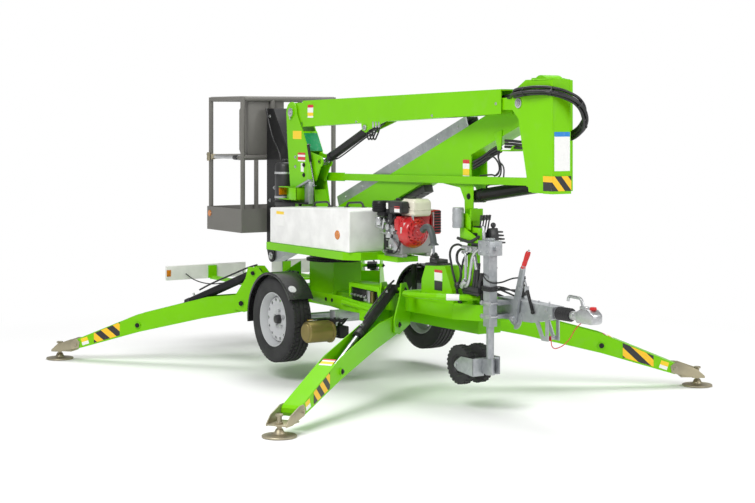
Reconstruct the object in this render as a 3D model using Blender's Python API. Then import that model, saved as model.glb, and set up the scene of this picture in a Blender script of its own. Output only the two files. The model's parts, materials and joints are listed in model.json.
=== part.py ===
"""Towable boom lift, parked on its four outrigger feet.

Metres, +Z up, +X towards the coupling, +Y to the machine's left. The wheels' axle stands at X = 0
while the pieces are shaped, and the empty that carries them all then moves the machine so that the
middle of its length lies over the origin.
"""
import math

import bmesh
import bpy
from mathutils import Matrix, Vector

# Driving sizes of the chassis
AXLE_Z = 0.413
TYRE_R, TYRE_WIDTH, TYRE_Y = 0.293, 0.165, 0.605
RIM_R, HUB_R, STUB_R = 0.183, 0.052, 0.020
FRAME_BOTTOM, FRAME_TOP, FRAME_HALF = 0.445, 0.560, 0.085
SLEW_X, PEDESTAL_TOP, RING_TOP = -0.293, 0.764, 0.808
COUPLER_NOSE_X, DRAWBAR_Z = 2.585, 0.640

# Driving sizes of the outriggers, in each leg's own upright plane
LEG_ROOT_Z, LEG_WIDTH, LEG_WALL = 0.463, 0.120, 0.006
LEG_PIN_S, LEG_PIN_Z = 0.803, 0.278
LEG_END_S, LEG_END_Z, PAD_S, PAD_R = 1.293, 0.121, 1.452, 0.100
LEG_CYL_S, LEG_CYL_Z = -0.088, 0.681
LEG_ROOTS = {          # x, y, heading in degrees
    "front_right": (0.959, -0.365, -57.8),
    "front_left": (0.959, 0.365, 57.8),
    "rear_right": (-0.634, -0.552, 222.4),
    "rear_left": (-0.634, 0.552, 137.6),
}

# Driving sizes of the turntable and booms: pins are (x, z)
DECK_TOP = 0.900
PIN_A, PIN_B = (-0.699, 1.827), (-0.519, 1.360)
PIN_C, PIN_D = (2.033, 1.873), (2.213, 1.406)
PIN_E, PIN_F = (2.040, 1.970), (2.115, 1.397)
PIN_G = (1.300, 1.285)
LIFT_1_FOOT, LIFT_1_EYE, LIFT_1_TAIL = (-0.320, 1.474), (0.300, 1.720), 0.190
BOOM_1_Y, BOOM_1_WIDTH, BOOM_1_ROOT_DEPTH, BOOM_1_TIP_DEPTH = -0.070, 0.094, 0.190, 0.150
BOOM_2_Y, BOOM_2_WIDTH, BOOM_2_DEPTH, BOOM_2_SLOPE = 0.085, 0.130, 0.180, math.radians(20.1)
SECTION_DEPTH, SECTION_WIDTH = 0.100, 0.100
BOX_WALL, PLATE = 0.006, 0.008
TIE_NEAR, TIE_FAR, TIE_HALF = -0.003, 0.013, 0.030
LEG_STROKE = 0.334
PIN_A_R, KNUCKLE_PIN_R, TIE_PIN_R, NOSE_PIN_R = 0.022, 0.020, 0.016, 0.018
LIFT_1_PIN_R, LIFT_2_PIN_R, LEG_PIN_R, LEG_CYL_PIN_R = 0.014, 0.015, 0.016, 0.013
NOSE_X = -1.280

# Driving sizes of the cage
CAGE_FRONT_X, CAGE_REAR_X, CAGE_RIGHT_Y, CAGE_LEFT_Y = -1.352, -1.935, -0.200, 0.663
CAGE_FLOOR_Z, CAGE_TOP_Z, CAGE_TUBE = 0.902, 1.955, 0.019

# Clearances
SEAT = 0.0003
SIDE_GAP = 0.005
PIN_GAP = 0.0009
RUN_GAP = 0.0008

MIDDLE_X = (COUPLER_NOSE_X + CAGE_REAR_X) / 2

# Colour, metallic and roughness of each material
FINISHES = {
    "green_paint": ((0.27, 0.62, 0.01), 0.0, 0.35),
    "grey_paint": ((0.22, 0.21, 0.20), 0.0, 0.5),
    "white_shell": ((0.82, 0.82, 0.80), 0.0, 0.4),
    "galvanised": ((0.48, 0.50, 0.51), 0.85, 0.45),
    "yellow_zinc": ((0.45, 0.41, 0.30), 0.85, 0.45),
    "rim_silver": ((0.55, 0.56, 0.57), 0.7, 0.4),
    "black_rubber": ((0.02, 0.02, 0.02), 0.0, 0.85),
    "black_paint": ((0.02, 0.02, 0.022), 0.0, 0.45),
    "chrome_rod": ((0.7, 0.7, 0.72), 1.0, 0.15),
    "red_shroud": ((0.55, 0.01, 0.02), 0.0, 0.35),
    "cream_tank": ((0.70, 0.66, 0.55), 0.0, 0.35),
}


# Shaping helpers: each gives back a bmesh in the machine's own metres

def tidy(mesh):
    """Merge doubles and turn every face outwards."""
    bmesh.ops.remove_doubles(mesh, verts=mesh.verts, dist=1e-6)
    bmesh.ops.recalc_face_normals(mesh, faces=mesh.faces)
    return mesh


def block(low, high):
    """An upright box between two corners."""
    mesh = bmesh.new()
    bmesh.ops.create_cube(mesh, size=1.0)
    size = [b - a for a, b in zip(low, high)]
    middle = [(a + b) / 2 for a, b in zip(low, high)]
    bmesh.ops.scale(mesh, vec=size, verts=mesh.verts)
    bmesh.ops.translate(mesh, vec=middle, verts=mesh.verts)
    return mesh


def plate(outline, near, far, to_world):
    """An outline in a plane, extruded from near to far and placed by to_world(a, b, depth)."""
    mesh = bmesh.new()
    face = mesh.faces.new([mesh.verts.new(to_world(a, b, near)) for a, b in outline])
    grown = bmesh.ops.extrude_face_region(mesh, geom=[face])
    tops = [item for item in grown["geom"] if isinstance(item, bmesh.types.BMVert)]
    a, b = outline[0]
    travel = Vector(to_world(a, b, far)) - Vector(to_world(a, b, near))
    bmesh.ops.translate(mesh, vec=travel, verts=tops)
    return tidy(mesh)


def upright(outline, near, far):
    """A plate whose outline lies in the X Z plane, from y near to y far."""
    return plate(outline, near, far, lambda a, b, depth: (a, depth, b))


def flat(outline, low, high):
    """A plate whose outline lies in the X Y plane, from z low to z high."""
    return plate(outline, low, high, lambda a, b, depth: (a, b, depth))


def rod(start, end, radius, sides=10, end_radius=None):
    """A round bar or cone between two points."""
    start, end = Vector(start), Vector(end)
    mesh = bmesh.new()
    bmesh.ops.create_cone(mesh, cap_ends=True, segments=sides, radius1=radius,
                          radius2=radius if end_radius is None else end_radius,
                          depth=(end - start).length)
    turn = (end - start).to_track_quat("Z", "Y").to_matrix().to_4x4()
    bmesh.ops.transform(mesh, matrix=Matrix.Translation((start + end) / 2) @ turn, verts=mesh.verts)
    return mesh


def pin_bar(pin, near, far, radius):
    """A pin along Y at a machine (x, z), fine enough to turn in its bore."""
    return rod((pin[0], near, pin[1]), (pin[0], far, pin[1]), radius, 16)


def turned(profile, centre, axis, sides=24):
    """A closed (radius, height) profile spun about an axis through the centre."""
    mesh = bmesh.new()
    verts = [mesh.verts.new((radius, 0.0, height)) for radius, height in profile]
    edges = [mesh.edges.new(pair) for pair in zip(verts, verts[1:] + verts[:1])
             if pair[0].co.x or pair[1].co.x]
    bmesh.ops.spin(mesh, geom=verts + edges, cent=(0, 0, 0), axis=(0, 0, 1), angle=math.tau,
                   steps=sides, use_merge=True)
    bmesh.ops.remove_doubles(mesh, verts=mesh.verts, dist=1e-6)
    loose = [edge for edge in mesh.edges if not edge.link_faces]
    bmesh.ops.delete(mesh, geom=loose, context="EDGES")
    turn = Vector(axis).to_track_quat("Z", "Y").to_matrix().to_4x4()
    bmesh.ops.transform(mesh, matrix=Matrix.Translation(centre) @ turn, verts=mesh.verts)
    return tidy(mesh)


def arc(centre, radius, start, end, steps):
    """Points on an arc, angles in degrees."""
    points = []
    for step in range(steps + 1):
        angle = math.radians(start + (end - start) * step / steps)
        points.append((centre[0] + radius * math.cos(angle), centre[1] + radius * math.sin(angle)))
    return points


def bent_tube(points, radius, sides=8):
    """A round tube along points joined by straight runs, capped at both ends."""
    points = [Vector(point) for point in points]
    mesh = bmesh.new()
    rings = []
    normal = None
    for index, point in enumerate(points):
        before = (point - points[index - 1]).normalized() if index else None
        after = (points[index + 1] - point).normalized() if index < len(points) - 1 else None
        along = (before or after) if not (before and after) else (before + after).normalized()
        if normal is None:
            normal = along.orthogonal().normalized()
        normal = (normal - along * normal.dot(along)).normalized()
        side = along.cross(normal)
        stretch = 1.0 / max(0.5, along.dot(after or before))
        ring = []
        for step in range(sides):
            angle = math.tau * step / sides
            ring.append(mesh.verts.new(point + (normal * math.cos(angle) + side * math.sin(angle))
                                       * radius * (stretch if before and after else 1.0)))
        rings.append(ring)
    for low, high in zip(rings, rings[1:]):
        for step in range(sides):
            after = (step + 1) % sides
            mesh.faces.new((low[step], low[after], high[after], high[step]))
    mesh.faces.new(rings[0])
    mesh.faces.new(rings[-1])
    return tidy(mesh)


def rounded(points, radius, steps=2):
    """The same route with its inner corners rounded by short arcs of Bezier form."""
    points = [Vector(point) for point in points]
    route = [points[0]]
    for before, corner, after in zip(points, points[1:], points[2:]):
        reach = min(radius, (before - corner).length / 2, (after - corner).length / 2)
        start = corner + (before - corner).normalized() * reach
        end = corner + (after - corner).normalized() * reach
        for step in range(steps + 1):
            t = step / steps
            route.append(start * (1 - t) ** 2 + corner * 2 * t * (1 - t) + end * t * t)
    route.append(points[-1])
    return route


def scratch_object(mesh):
    """Put a bmesh into a passing object, for a Boolean."""
    data = bpy.data.meshes.new("scratch")
    mesh.to_mesh(data)
    mesh.free()
    return bpy.data.objects.new("scratch", data)


def boolean(target, tools, operation):
    """The target united with, or cut by, the tools."""
    if not tools:
        return target
    group = bpy.data.collections.new("scratch")
    bpy.context.scene.collection.children.link(group)
    for tool in tools:
        group.objects.link(scratch_object(tool))
    base = scratch_object(target)
    bpy.context.scene.collection.objects.link(base)
    modifier = base.modifiers.new("boolean", "BOOLEAN")
    modifier.operation = operation
    modifier.operand_type = "COLLECTION"
    modifier.collection = group
    modifier.solver = "EXACT"
    mesh = bmesh.new()
    mesh.from_object(base, bpy.context.evaluated_depsgraph_get())
    for item in [base, *group.objects]:
        data = item.data
        bpy.data.objects.remove(item)
        bpy.data.meshes.remove(data)
    bpy.data.collections.remove(group)
    bmesh.ops.remove_doubles(mesh, verts=mesh.verts, dist=1e-6)
    bmesh.ops.dissolve_degenerate(mesh, edges=mesh.edges, dist=1e-6)
    return mesh


def join(first, *others):
    """Several overlapping shapes as one closed body."""
    return boolean(first, list(others), "UNION")


def cut(body, *tools):
    """A body with the tools cut out of it."""
    return boolean(body, list(tools), "DIFFERENCE")


def moved(mesh, matrix):
    """The mesh after a transform."""
    bmesh.ops.transform(mesh, matrix=matrix, verts=mesh.verts)
    return mesh


def material(name):
    """The named finish as a Principled material."""
    if name in bpy.data.materials:
        return bpy.data.materials[name]
    colour, metallic, roughness = FINISHES[name]
    made = bpy.data.materials.new(name)
    made.use_nodes = True
    shader = made.node_tree.nodes["Principled BSDF"]
    shader.inputs["Base Color"].default_value = (*colour, 1.0)
    shader.inputs["Metallic"].default_value = metallic
    shader.inputs["Roughness"].default_value = roughness
    made.diffuse_color = (*colour, 1.0)
    return made


def node(name, mesh, finish, pivot=(0, 0, 0)):
    """A finished piece with its origin on its joint's axis."""
    bmesh.ops.translate(mesh, vec=-Vector(pivot), verts=mesh.verts)
    data = bpy.data.meshes.new(name)
    mesh.to_mesh(data)
    mesh.free()
    data.shade_smooth()
    data.set_sharp_from_angle(angle=math.radians(35))
    data.materials.append(material(finish))
    piece = bpy.data.objects.new(name, data)
    piece.location = pivot
    piece.parent = bpy.data.objects["machine"]
    bpy.context.scene.collection.objects.link(piece)
    return piece


# Chassis

def leg_plane(leg):
    """The matrix from a leg's plane (along, across, up) to the machine."""
    x, y, heading = LEG_ROOTS[leg]
    return Matrix.Translation((x, y, 0)) @ Matrix.Rotation(math.radians(heading), 4, "Z")


LEG_CHEEK = LEG_WIDTH / 2 + SIDE_GAP
CHEEK = 0.010
LEG_BRACKET = [(-0.190, 0.450), (-0.190, 0.640), (-0.125, 0.722), (-0.050, 0.722), (-0.030, 0.640),
               (0.058, 0.500), (0.058, 0.420), (-0.020, 0.400)]


def leg_bracket(leg):
    """Two cheeks and a back plate that hold a leg's root pin and its cylinder's pin."""
    cheeks = []
    for side in (-1, 1):
        near, far = sorted((side * LEG_CHEEK, side * (LEG_CHEEK + CHEEK)))
        cheeks.append(upright(LEG_BRACKET, near, far))
    back = block((-0.190, -LEG_CHEEK - CHEEK, 0.450), (-0.175, LEG_CHEEK + CHEEK, 0.650))
    across = LEG_CHEEK + CHEEK + 0.006
    root_pin = rod((0, -across, LEG_ROOT_Z), (0, across, LEG_ROOT_Z), LEG_PIN_R)
    top_pin = rod((LEG_CYL_S, -across, LEG_CYL_Z), (LEG_CYL_S, across, LEG_CYL_Z), LEG_CYL_PIN_R)
    return [moved(mesh, leg_plane(leg)) for mesh in (*cheeks, back, root_pin, top_pin)]


def build_frame():
    """The welded green frame: spine, cross beams, pedestal, front deck and leg brackets."""
    spine = block((-0.740, -FRAME_HALF, FRAME_BOTTOM), (1.560, FRAME_HALF, FRAME_TOP))
    parts = []
    for low, high, reach in ((-0.580, -0.440, 0.460), (0.640, 0.800, 0.380)):
        parts.append(block((low, -reach, 0.455), (high, reach, 0.575)))
    pedestal = [(SLEW_X - 0.168, -0.115), (SLEW_X + 0.168, -0.115),
                (SLEW_X + 0.168, 0.115), (SLEW_X - 0.168, 0.115)]
    parts.append(flat(pedestal, FRAME_BOTTOM + 0.01, PEDESTAL_TOP))
    for side in (-1, 1):
        web = [(side * 0.105, 0.740), (side * 0.105, 0.540), (side * 0.420, 0.540), (side * 0.420, 0.580)]
        parts.append(plate(web, SLEW_X - 0.320, SLEW_X - 0.308, lambda a, b, depth: (depth, a, b)))
    front = [(0.700, -0.330), (0.826, -0.330), (0.985, -0.228), (1.480, -0.228), (1.700, -0.130),
             (1.700, 0.130), (1.480, 0.228), (0.985, 0.228), (0.826, 0.330), (0.700, 0.330)]
    parts.append(flat(front, 0.540, 0.640))
    for leg in LEG_ROOTS:
        parts.extend(leg_bracket(leg))
    return join(spine, *parts, *hood_parts(), *boom_rest_parts(), *light_arm_parts())


def hood_parts():
    """The sloping hood over the outrigger hoses, with its tubular guard rail."""
    hood = upright([(1.140, 0.630), (1.145, 0.760), (1.190, 0.850), (1.400, 0.862), (1.475, 0.720),
                    (1.490, 0.630)], -0.230, -0.060)
    guard = bent_tube(rounded([(1.090, -0.200, 0.665), (1.090, -0.340, 0.672), (1.240, -0.395, 0.680),
                               (1.500, -0.360, 0.690), (1.640, -0.200, 0.685), (1.640, -0.105, 0.685)],
                              0.08), 0.019)
    feet = [block((1.610, -0.125, 0.630), (1.660, -0.085, 0.700)),
            block((1.070, -0.226, 0.630), (1.110, -0.186, 0.680))]
    return [hood, guard, *feet]


DRUM_R = 0.085


def build_axle():
    """The axle beam under the frame with its stub ends and pads."""
    beam_top = FRAME_BOTTOM - SEAT
    beam = block((-0.035, -0.455, 0.365), (0.035, 0.455, 0.435))
    parts = [rod((0, side * 0.400, AXLE_Z), (0, side * 0.610, AXLE_Z), STUB_R, 16) for side in (-1, 1)]
    parts.append(block((-0.060, -0.110, 0.400), (0.060, 0.110, beam_top)))
    for side in (-1, 1):
        parts.append(rod((0, side * 0.455, AXLE_Z), (0, side * 0.500, AXLE_Z), DRUM_R, 24))
    return join(beam, *parts)


def build_tyre(side):
    """A road tyre as a turned ring, open where the rim sits."""
    half = TYRE_WIDTH / 2
    crown, bead = TYRE_R, RIM_R + SEAT
    wall = crown - bead
    right = [(bead, -half + 0.018), (bead + wall * 0.13, -half + 0.005), (bead + wall * 0.45, -half),
             (crown - wall * 0.36, -half + 0.002), (crown - wall * 0.11, -half + 0.018),
             (crown, -half + 0.045)]
    profile = right + [(radius, -height) for radius, height in reversed(right)]
    return turned(profile, (0, side * TYRE_Y, AXLE_Z), (0, side, 0), 32)


def build_rim(side):
    """A steel rim: barrel, dished disc with round windows, and a hub cap outside."""
    half = TYRE_WIDTH / 2 - 0.012
    wall = 0.005
    barrel = RIM_R - 0.012
    bore = STUB_R + PIN_GAP
    profile = [(RIM_R, half), (RIM_R, half - 0.010), (barrel, half - 0.022), (barrel, -half),
               (barrel - wall, -half), (barrel - wall, 0.000), (0.110, 0.020), (0.075, 0.002),
               (bore, 0.002), (bore, 0.010), (0.073, 0.010), (0.108, 0.028),
               (barrel - wall, 0.010), (barrel - wall, half - 0.020), (RIM_R - 0.006, half)]
    centre = Vector((0, side * TYRE_Y, AXLE_Z))
    rim = turned(profile, centre, (0, side, 0), 32)
    windows = []
    for step in range(14):
        angle = math.tau * step / 14
        spot = centre + Vector((math.cos(angle), 0, math.sin(angle))) * 0.137
        windows.append(rod(spot - Vector((0, 0.05, 0)), spot + Vector((0, 0.05, 0)), 0.011, 6))
    rim = cut(rim, *windows)
    cap = turned([(0.0, 0.050), (0.030, 0.050), (HUB_R - 0.012, 0.042), (HUB_R - 0.010, 0.006),
                  (0.0, 0.006)], centre, (0, side, 0), 14)
    return join(rim, cap)


def build_mudguard(side):
    """A wrapped plastic mudguard, short at the front, with turned-down lips and its inner stay."""
    outer, inner = 0.322, 0.317
    front, rear = 30, 188
    centre = (0.0, AXLE_Z)
    outline = arc(centre, outer, front, rear, 16) + arc(centre, inner, rear, front, 16)
    near, far = sorted((side * 0.520, side * 0.700))
    guard = upright(outline, near, far)
    lip_outline = arc(centre, outer, front, rear, 16) + arc(centre, inner - 0.012, rear, front, 16)
    lip_near, lip_far = sorted((side * 0.697, side * 0.702))
    lip = upright(lip_outline, lip_near, lip_far)
    drum_top = AXLE_Z + DRUM_R + SEAT
    low, high = sorted((side * 0.486, side * 0.492))
    post = block((-0.030, low, drum_top), (0.030, high, AXLE_Z + inner))
    low, high = sorted((side * 0.486, side * 0.540))
    stay = block((-0.030, low, AXLE_Z + inner - 0.004), (0.030, high, AXLE_Z + inner + 0.003))
    return join(guard, lip, stay, post)


def build_drawbar():
    """The galvanised overrun housing, the support under it and the bolts' cheeks."""
    body = upright([(1.7003, 0.560), (1.7003, 0.690), (1.900, 0.688), (2.232, 0.676), (2.232, 0.605),
                    (2.040, 0.565)], -0.045, 0.045)
    stand = []
    for side in (-1, 1):
        leg = upright([(2.060, 0.590), (2.130, 0.470), (2.190, 0.470), (2.190, 0.620), (2.165, 0.620),
                       (2.165, 0.496), (2.145, 0.496), (2.090, 0.600)], side * 0.045, side * 0.037)
        stand.append(leg)
    bar = rod((2.155, -0.045, 0.484), (2.155, 0.045, 0.484), 0.010)
    socket = block((1.780, 0.040, 0.640), (1.860, 0.075, 0.760))
    pivot = rod((1.880, -0.050, 0.575), (1.880, -0.040, 0.575), 0.045, 20)
    return join(body, *stand, bar, socket, pivot)


def build_bellows():
    """The ribbed rubber bellows over the overrun shaft."""
    length, ribs = 0.126, 5
    pitch = length / ribs
    outline = [(0.0, 0.0)]
    for index in range(ribs):
        outline += [(0.030, pitch * index), (0.040, pitch * (index + 0.5))]
    outline += [(0.030, length), (0.0, length)]
    return turned(outline, (2.232 + SEAT, 0, DRAWBAR_Z), (1, 0, 0), 16)


def build_coupling():
    """The ball coupling head: shaft, cupped nose and lifting handle."""
    start = 2.232 + 0.126 + 2 * SEAT
    shaft = rod((start, 0, DRAWBAR_Z), (2.470, 0, DRAWBAR_Z), 0.026, 20)
    nose = upright([(2.440, 0.606), (2.440, 0.672), (2.475, 0.688), (2.545, 0.688),
                    (COUPLER_NOSE_X, 0.660), (COUPLER_NOSE_X, 0.615), (2.570, 0.606)], -0.038, 0.038)
    cup = rod((2.520, 0, 0.600), (2.520, 0, 0.640), 0.027, 20)
    lever = bent_tube(rounded([(2.460, 0, 0.680), (2.440, 0, 0.745), (2.340, 0, 0.748), (2.325, 0, 0.722)],
                              0.02), 0.010, 8)
    return join(cut(nose, cup), shaft, lever)


def build_handbrake():
    """The handbrake lever on the drawbar's right side, tapered, with its grip."""
    near, far = -0.068, -0.0505
    lever = upright([(1.852, 0.575), (1.868, 0.545), (1.900, 0.545), (1.915, 0.590), (1.988, 0.885),
                     (1.975, 0.895), (1.955, 0.890)], near, far)
    grip = rod((1.969, -0.059, 0.880), (2.024, -0.059, 0.986), 0.014, 12)
    boss = rod((1.880, near - 0.006, 0.575), (1.880, far, 0.575), 0.022, 16)
    return join(lever, grip, boss)


JOCKEY = (1.782, -0.162)
JOCKEY_AXLE = (1.575, -0.162, 0.2735)
JOCKEY_WHEEL_R = 0.120


def build_jockey_mast():
    """The jockey wheel's square outer tube with its gear head and clamp plates."""
    x, y = JOCKEY
    tube = block((x - 0.030, y - 0.030, 0.525), (x + 0.030, y + 0.030, 0.965))
    bore = block((x - 0.025, y - 0.025, 0.500), (x + 0.025, y + 0.025, 0.940))
    head = block((x - 0.055, y - 0.050, 0.954), (x + 0.055, y + 0.050, 1.043))
    clamps = []
    for z in (0.585, 0.665):
        clamps.append(block((x - 0.045, y + 0.025, z - 0.012), (x + 0.045, -0.0453, z + 0.012)))
    return join(cut(tube, bore), head, *clamps)


def build_jockey_tube():
    """The round inner tube that winds down out of the mast."""
    x, y = JOCKEY
    return rod((x, y, 0.330), (x, y, 0.900), 0.0235, 20)


def build_jockey_fork():
    """The swivelling fork: a collar under the inner tube and two trailing cheeks."""
    x, y = JOCKEY
    collar = rod((x, y, 0.232), (x, y, 0.330 - SEAT), 0.030, 20)
    ax, ay, az = JOCKEY_AXLE
    outline = [(x + 0.055, 0.330), (x - 0.080, 0.325), (ax - 0.010, az + 0.030), (ax - 0.030, az),
               (ax - 0.010, az - 0.030), (x - 0.080, 0.235), (x + 0.055, 0.240)]
    cheeks = [upright(outline, y + side * 0.030, y + side * 0.024) for side in (-1, 1)]
    bore = rod((ax, y - 1, az), (ax, y + 1, az), 0.010 + PIN_GAP, 12)
    return cut(join(collar, *cheeks), bore)


def build_jockey_wheels():
    """The pair of small jockey tyres with their hubs on one axle."""
    ax, ay, az = JOCKEY_AXLE
    axle = rod((ax, ay - 0.104, az), (ax, ay + 0.104, az), 0.010, 12)
    return join(axle, jockey_wheel(-1), jockey_wheel(1))


def jockey_wheel(side):
    """One small jockey tyre with its hub."""
    centre = (JOCKEY_AXLE[0], JOCKEY_AXLE[1] + side * 0.064, JOCKEY_AXLE[2])
    profile = [(0.0, -0.026), (0.060, -0.024), (0.068, -0.030), (0.100, -0.030),
               (JOCKEY_WHEEL_R, -0.012), (JOCKEY_WHEEL_R, 0.012), (0.100, 0.030), (0.068, 0.030),
               (0.060, 0.024), (0.0, 0.026)]
    return turned(profile, centre, (0, side, 0), 24)


REST_X, REST_Y = 1.557, -0.120


def boom_rest_parts():
    """The green post of the boom rest, its saddle and the shelf for the valves on its front."""
    post = block((REST_X - 0.028, REST_Y - 0.028, 0.630), (REST_X + 0.028, REST_Y + 0.028, 1.180))
    saddle = upright([(REST_X - 0.034, 1.150), (REST_X + 0.034, 1.150), (REST_X + 0.034, 1.225),
                      (REST_X + 0.020, 1.225), (REST_X + 0.020, 1.190), (REST_X - 0.020, 1.190),
                      (REST_X - 0.020, 1.225), (REST_X - 0.034, 1.225)], REST_Y - 0.045, REST_Y + 0.045)
    brace = upright([(REST_X, 0.630), (REST_X + 0.130, 0.630), (REST_X, 0.880)],
                    REST_Y - 0.005, REST_Y + 0.005)
    shelf = block((REST_X + 0.020, REST_Y - 0.045, 0.985), (REST_X + 0.130, REST_Y + 0.055, 0.995))
    return [post, saddle, brace, shelf]


def build_valves():
    """The outrigger valve bank with its row of levers."""
    y = REST_Y
    body = block((REST_X + 0.0283, y - 0.040, 0.9953), (REST_X + 0.118, y + 0.050, 1.080))
    parts = [block((REST_X + 0.035, y - 0.030, 1.070), (REST_X + 0.060, y + 0.040, 1.120))]
    for index in range(4):
        across = y - 0.025 + 0.021 * index
        parts.append(rod((REST_X + 0.085, across, 1.070), (REST_X + 0.110, across, 1.165), 0.0045, 8))
        parts.append(rod((REST_X + 0.109, across, 1.160), (REST_X + 0.116, across, 1.190), 0.0085, 10))
    return join(body, *parts)


LIGHT_X, LIGHT_HALF, LIGHT_LOW, LIGHT_HIGH = -1.600, 0.720, 0.545, 0.655


def build_light_board():
    """The rear light board with its two lamp clusters."""
    gap_right, gap_left = BOOM_2_Y - SECTION_WIDTH / 2 - 0.070, BOOM_2_Y + SECTION_WIDTH / 2 + 0.070
    drop = LIGHT_LOW - 0.060
    outline = [(-LIGHT_HALF, LIGHT_LOW), (gap_right - 0.040, LIGHT_LOW), (gap_right - 0.020, drop),
               (gap_left + 0.020, drop), (gap_left + 0.040, LIGHT_LOW), (LIGHT_HALF, LIGHT_LOW),
               (LIGHT_HALF, LIGHT_HIGH), (gap_left, LIGHT_HIGH), (gap_left, drop + 0.030),
               (gap_right, drop + 0.030), (gap_right, LIGHT_HIGH), (-LIGHT_HALF, LIGHT_HIGH)]
    board = plate(outline, LIGHT_X - 0.010, LIGHT_X + 0.010, lambda a, b, depth: (depth, a, b))
    parts = []
    for side in (-1, 1):
        low, high = sorted((side * (LIGHT_HALF - 0.190), side * (LIGHT_HALF - 0.012)))
        parts.append(block((LIGHT_X - 0.045, low, LIGHT_LOW + 0.008), (LIGHT_X, high, LIGHT_HIGH - 0.008)))
    return join(board, *parts)


def light_arm_parts():
    """Two green arms from the rear cross beam that carry the light board."""
    parts = []
    for side in (-1, 1):
        y = side * 0.330
        parts.append(block((LIGHT_X + 0.0103, y - 0.020, 0.540), (-0.570, y + 0.020, 0.565)))
        parts.append(block((LIGHT_X + 0.0103, y - 0.035, 0.548), (LIGHT_X + 0.022, y + 0.035, 0.645)))
    parts.append(block((-1.100, -0.340, 0.545), (-1.070, 0.340, 0.560)))
    return parts


def build_traction_motor():
    """The friction drive ahead of the right tyre: motor drum, roller and clamp to the axle frame."""
    x, z = 0.395, 0.366
    drum = rod((x, -0.510, z), (x, -0.430, z), 0.062, 24)
    roller = rod((x, -0.650, z), (x, -0.500, z), 0.045, 24)
    flange = rod((x, -0.520, z), (x, -0.506, z), 0.072, 24)
    arm = upright([(0.360, 0.330), (0.430, 0.330), (0.430, 0.500), (0.360, 0.500)], -0.440, -0.420)
    reach = block((0.370, -0.425, 0.4450), (0.430, -FRAME_HALF - SEAT, 0.5000))
    return join(drum, roller, flange, arm, reach)


# Outriggers

def leg_outline():
    """The side of a leg in its plane: deep at the root, a knee above the pin, tapered to its end."""
    root = arc((0.0, LEG_ROOT_Z), 0.062, 270, 90, 6)
    end = arc((LEG_END_S, LEG_END_Z), 0.034, 75, -100, 4)
    return root + [(0.260, 0.500), (0.800, 0.358)] + end + [(0.800, 0.228), (0.300, 0.345)]


def build_leg(leg):
    """An outrigger: an open-topped channel back to the knee, then a tapered box to its end."""
    half = LEG_WIDTH / 2
    body = upright(leg_outline(), -half, half)
    inner = half - LEG_WALL
    pocket = upright([(-0.080, 0.600), (-0.080, 0.440), (0.060, 0.4167), (0.300, 0.3520),
                      (0.862, 0.2300), (0.880, 0.600)], -inner, inner)
    pin_bore = rod((0, -1.0, LEG_ROOT_Z), (0, 1.0, LEG_ROOT_Z), LEG_PIN_R + PIN_GAP)
    bosses = []
    for side in (-1, 1):
        start = side * (inner - 0.001)
        bosses.append(rod((LEG_PIN_S, start, LEG_PIN_Z), (LEG_PIN_S, side * (half + 0.012), LEG_PIN_Z), 0.022))
    return moved(join(cut(body, pocket, pin_bore), *bosses), leg_plane(leg))


def build_foot(leg):
    """A bent foot plate, the ball post under it and the round ground pad."""
    inner = LEG_WIDTH / 2 + 0.0003
    outline = [(1.262, 0.140), (1.270, 0.095), (1.330, 0.082), (1.415, 0.062), (1.490, 0.062),
               (1.490, 0.075), (1.440, 0.120), (1.330, 0.158), (1.285, 0.160)]
    cheeks = []
    for side in (-1, 1):
        near, far = sorted((side * inner, side * (inner + 0.006)))
        cheeks.append(upright(outline, near, far))
    tread = block((1.330, -inner - 0.003, 0.066), (1.490, inner + 0.003, 0.074))
    post = rod((PAD_S, 0, 0.008), (PAD_S, 0, 0.140), 0.016, 10)
    ball = turned([(0.0, 0.010), (0.030, 0.010), (0.030, 0.022), (0.016, 0.046), (0.0, 0.046)],
                  (PAD_S, 0, 0), (0, 0, 1), 12)
    pad = turned([(0.0, 0.0), (PAD_R - 0.006, 0.0), (PAD_R, 0.008), (PAD_R - 0.010, 0.014),
                  (0.0, 0.022)], (PAD_S, 0, 0), (0, 0, 1), 24)
    heads = [rod((LEG_END_S, side * (inner + 0.001), LEG_END_Z), (LEG_END_S, side * (inner + 0.013), LEG_END_Z),
                 0.012, 8) for side in (-1, 1)]
    return moved(join(tread, *cheeks, post, ball, pad, *heads), leg_plane(leg))


def ram(foot, eye, plane, bore_r, rod_r, foot_gap, barrel_share, width, stroke=0.0):
    """A cylinder in an upright plane: its barrel and its rod, each a bmesh, from pin to pin.

    plane turns (along, across, up) into the machine; foot and eye are (along, up) pins; the rod
    leaves room behind it for the stroke that it still has to go in.
    """
    start, end = Vector((foot[0], 0, foot[1])), Vector((eye[0], 0, eye[1]))
    along = (end - start).normalized()
    length = (end - start).length
    across = Vector((0, width / 2, 0))
    mouth = start + along * (length * barrel_share)
    barrel = rod(start + along * 0.020, mouth, bore_r, 14)
    foot_boss = rod(start - across, start + across, bore_r * 0.95, 12)
    foot_bore = rod(start - across * 2, start + across * 2, foot_gap, 16)
    inside = rod(start + along * (bore_r * 1.6), mouth + along, rod_r + RUN_GAP, 10)
    barrel = cut(join(barrel, foot_boss), foot_bore, inside)
    eye_boss = rod(end - across, end + across, bore_r * 0.85, 12)
    shaft = rod(start + along * (bore_r * 1.6 + 0.012 + stroke), end, rod_r, 10)
    return moved(barrel, plane), moved(join(shaft, eye_boss), plane)


def build_leg_ram(leg):
    """A leg's lifting cylinder."""
    return ram((LEG_CYL_S, LEG_CYL_Z), (LEG_PIN_S, LEG_PIN_Z), leg_plane(leg), 0.031, 0.017,
               LEG_CYL_PIN_R + PIN_GAP, 0.60, 0.070, LEG_STROKE)


# Turntable

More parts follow.
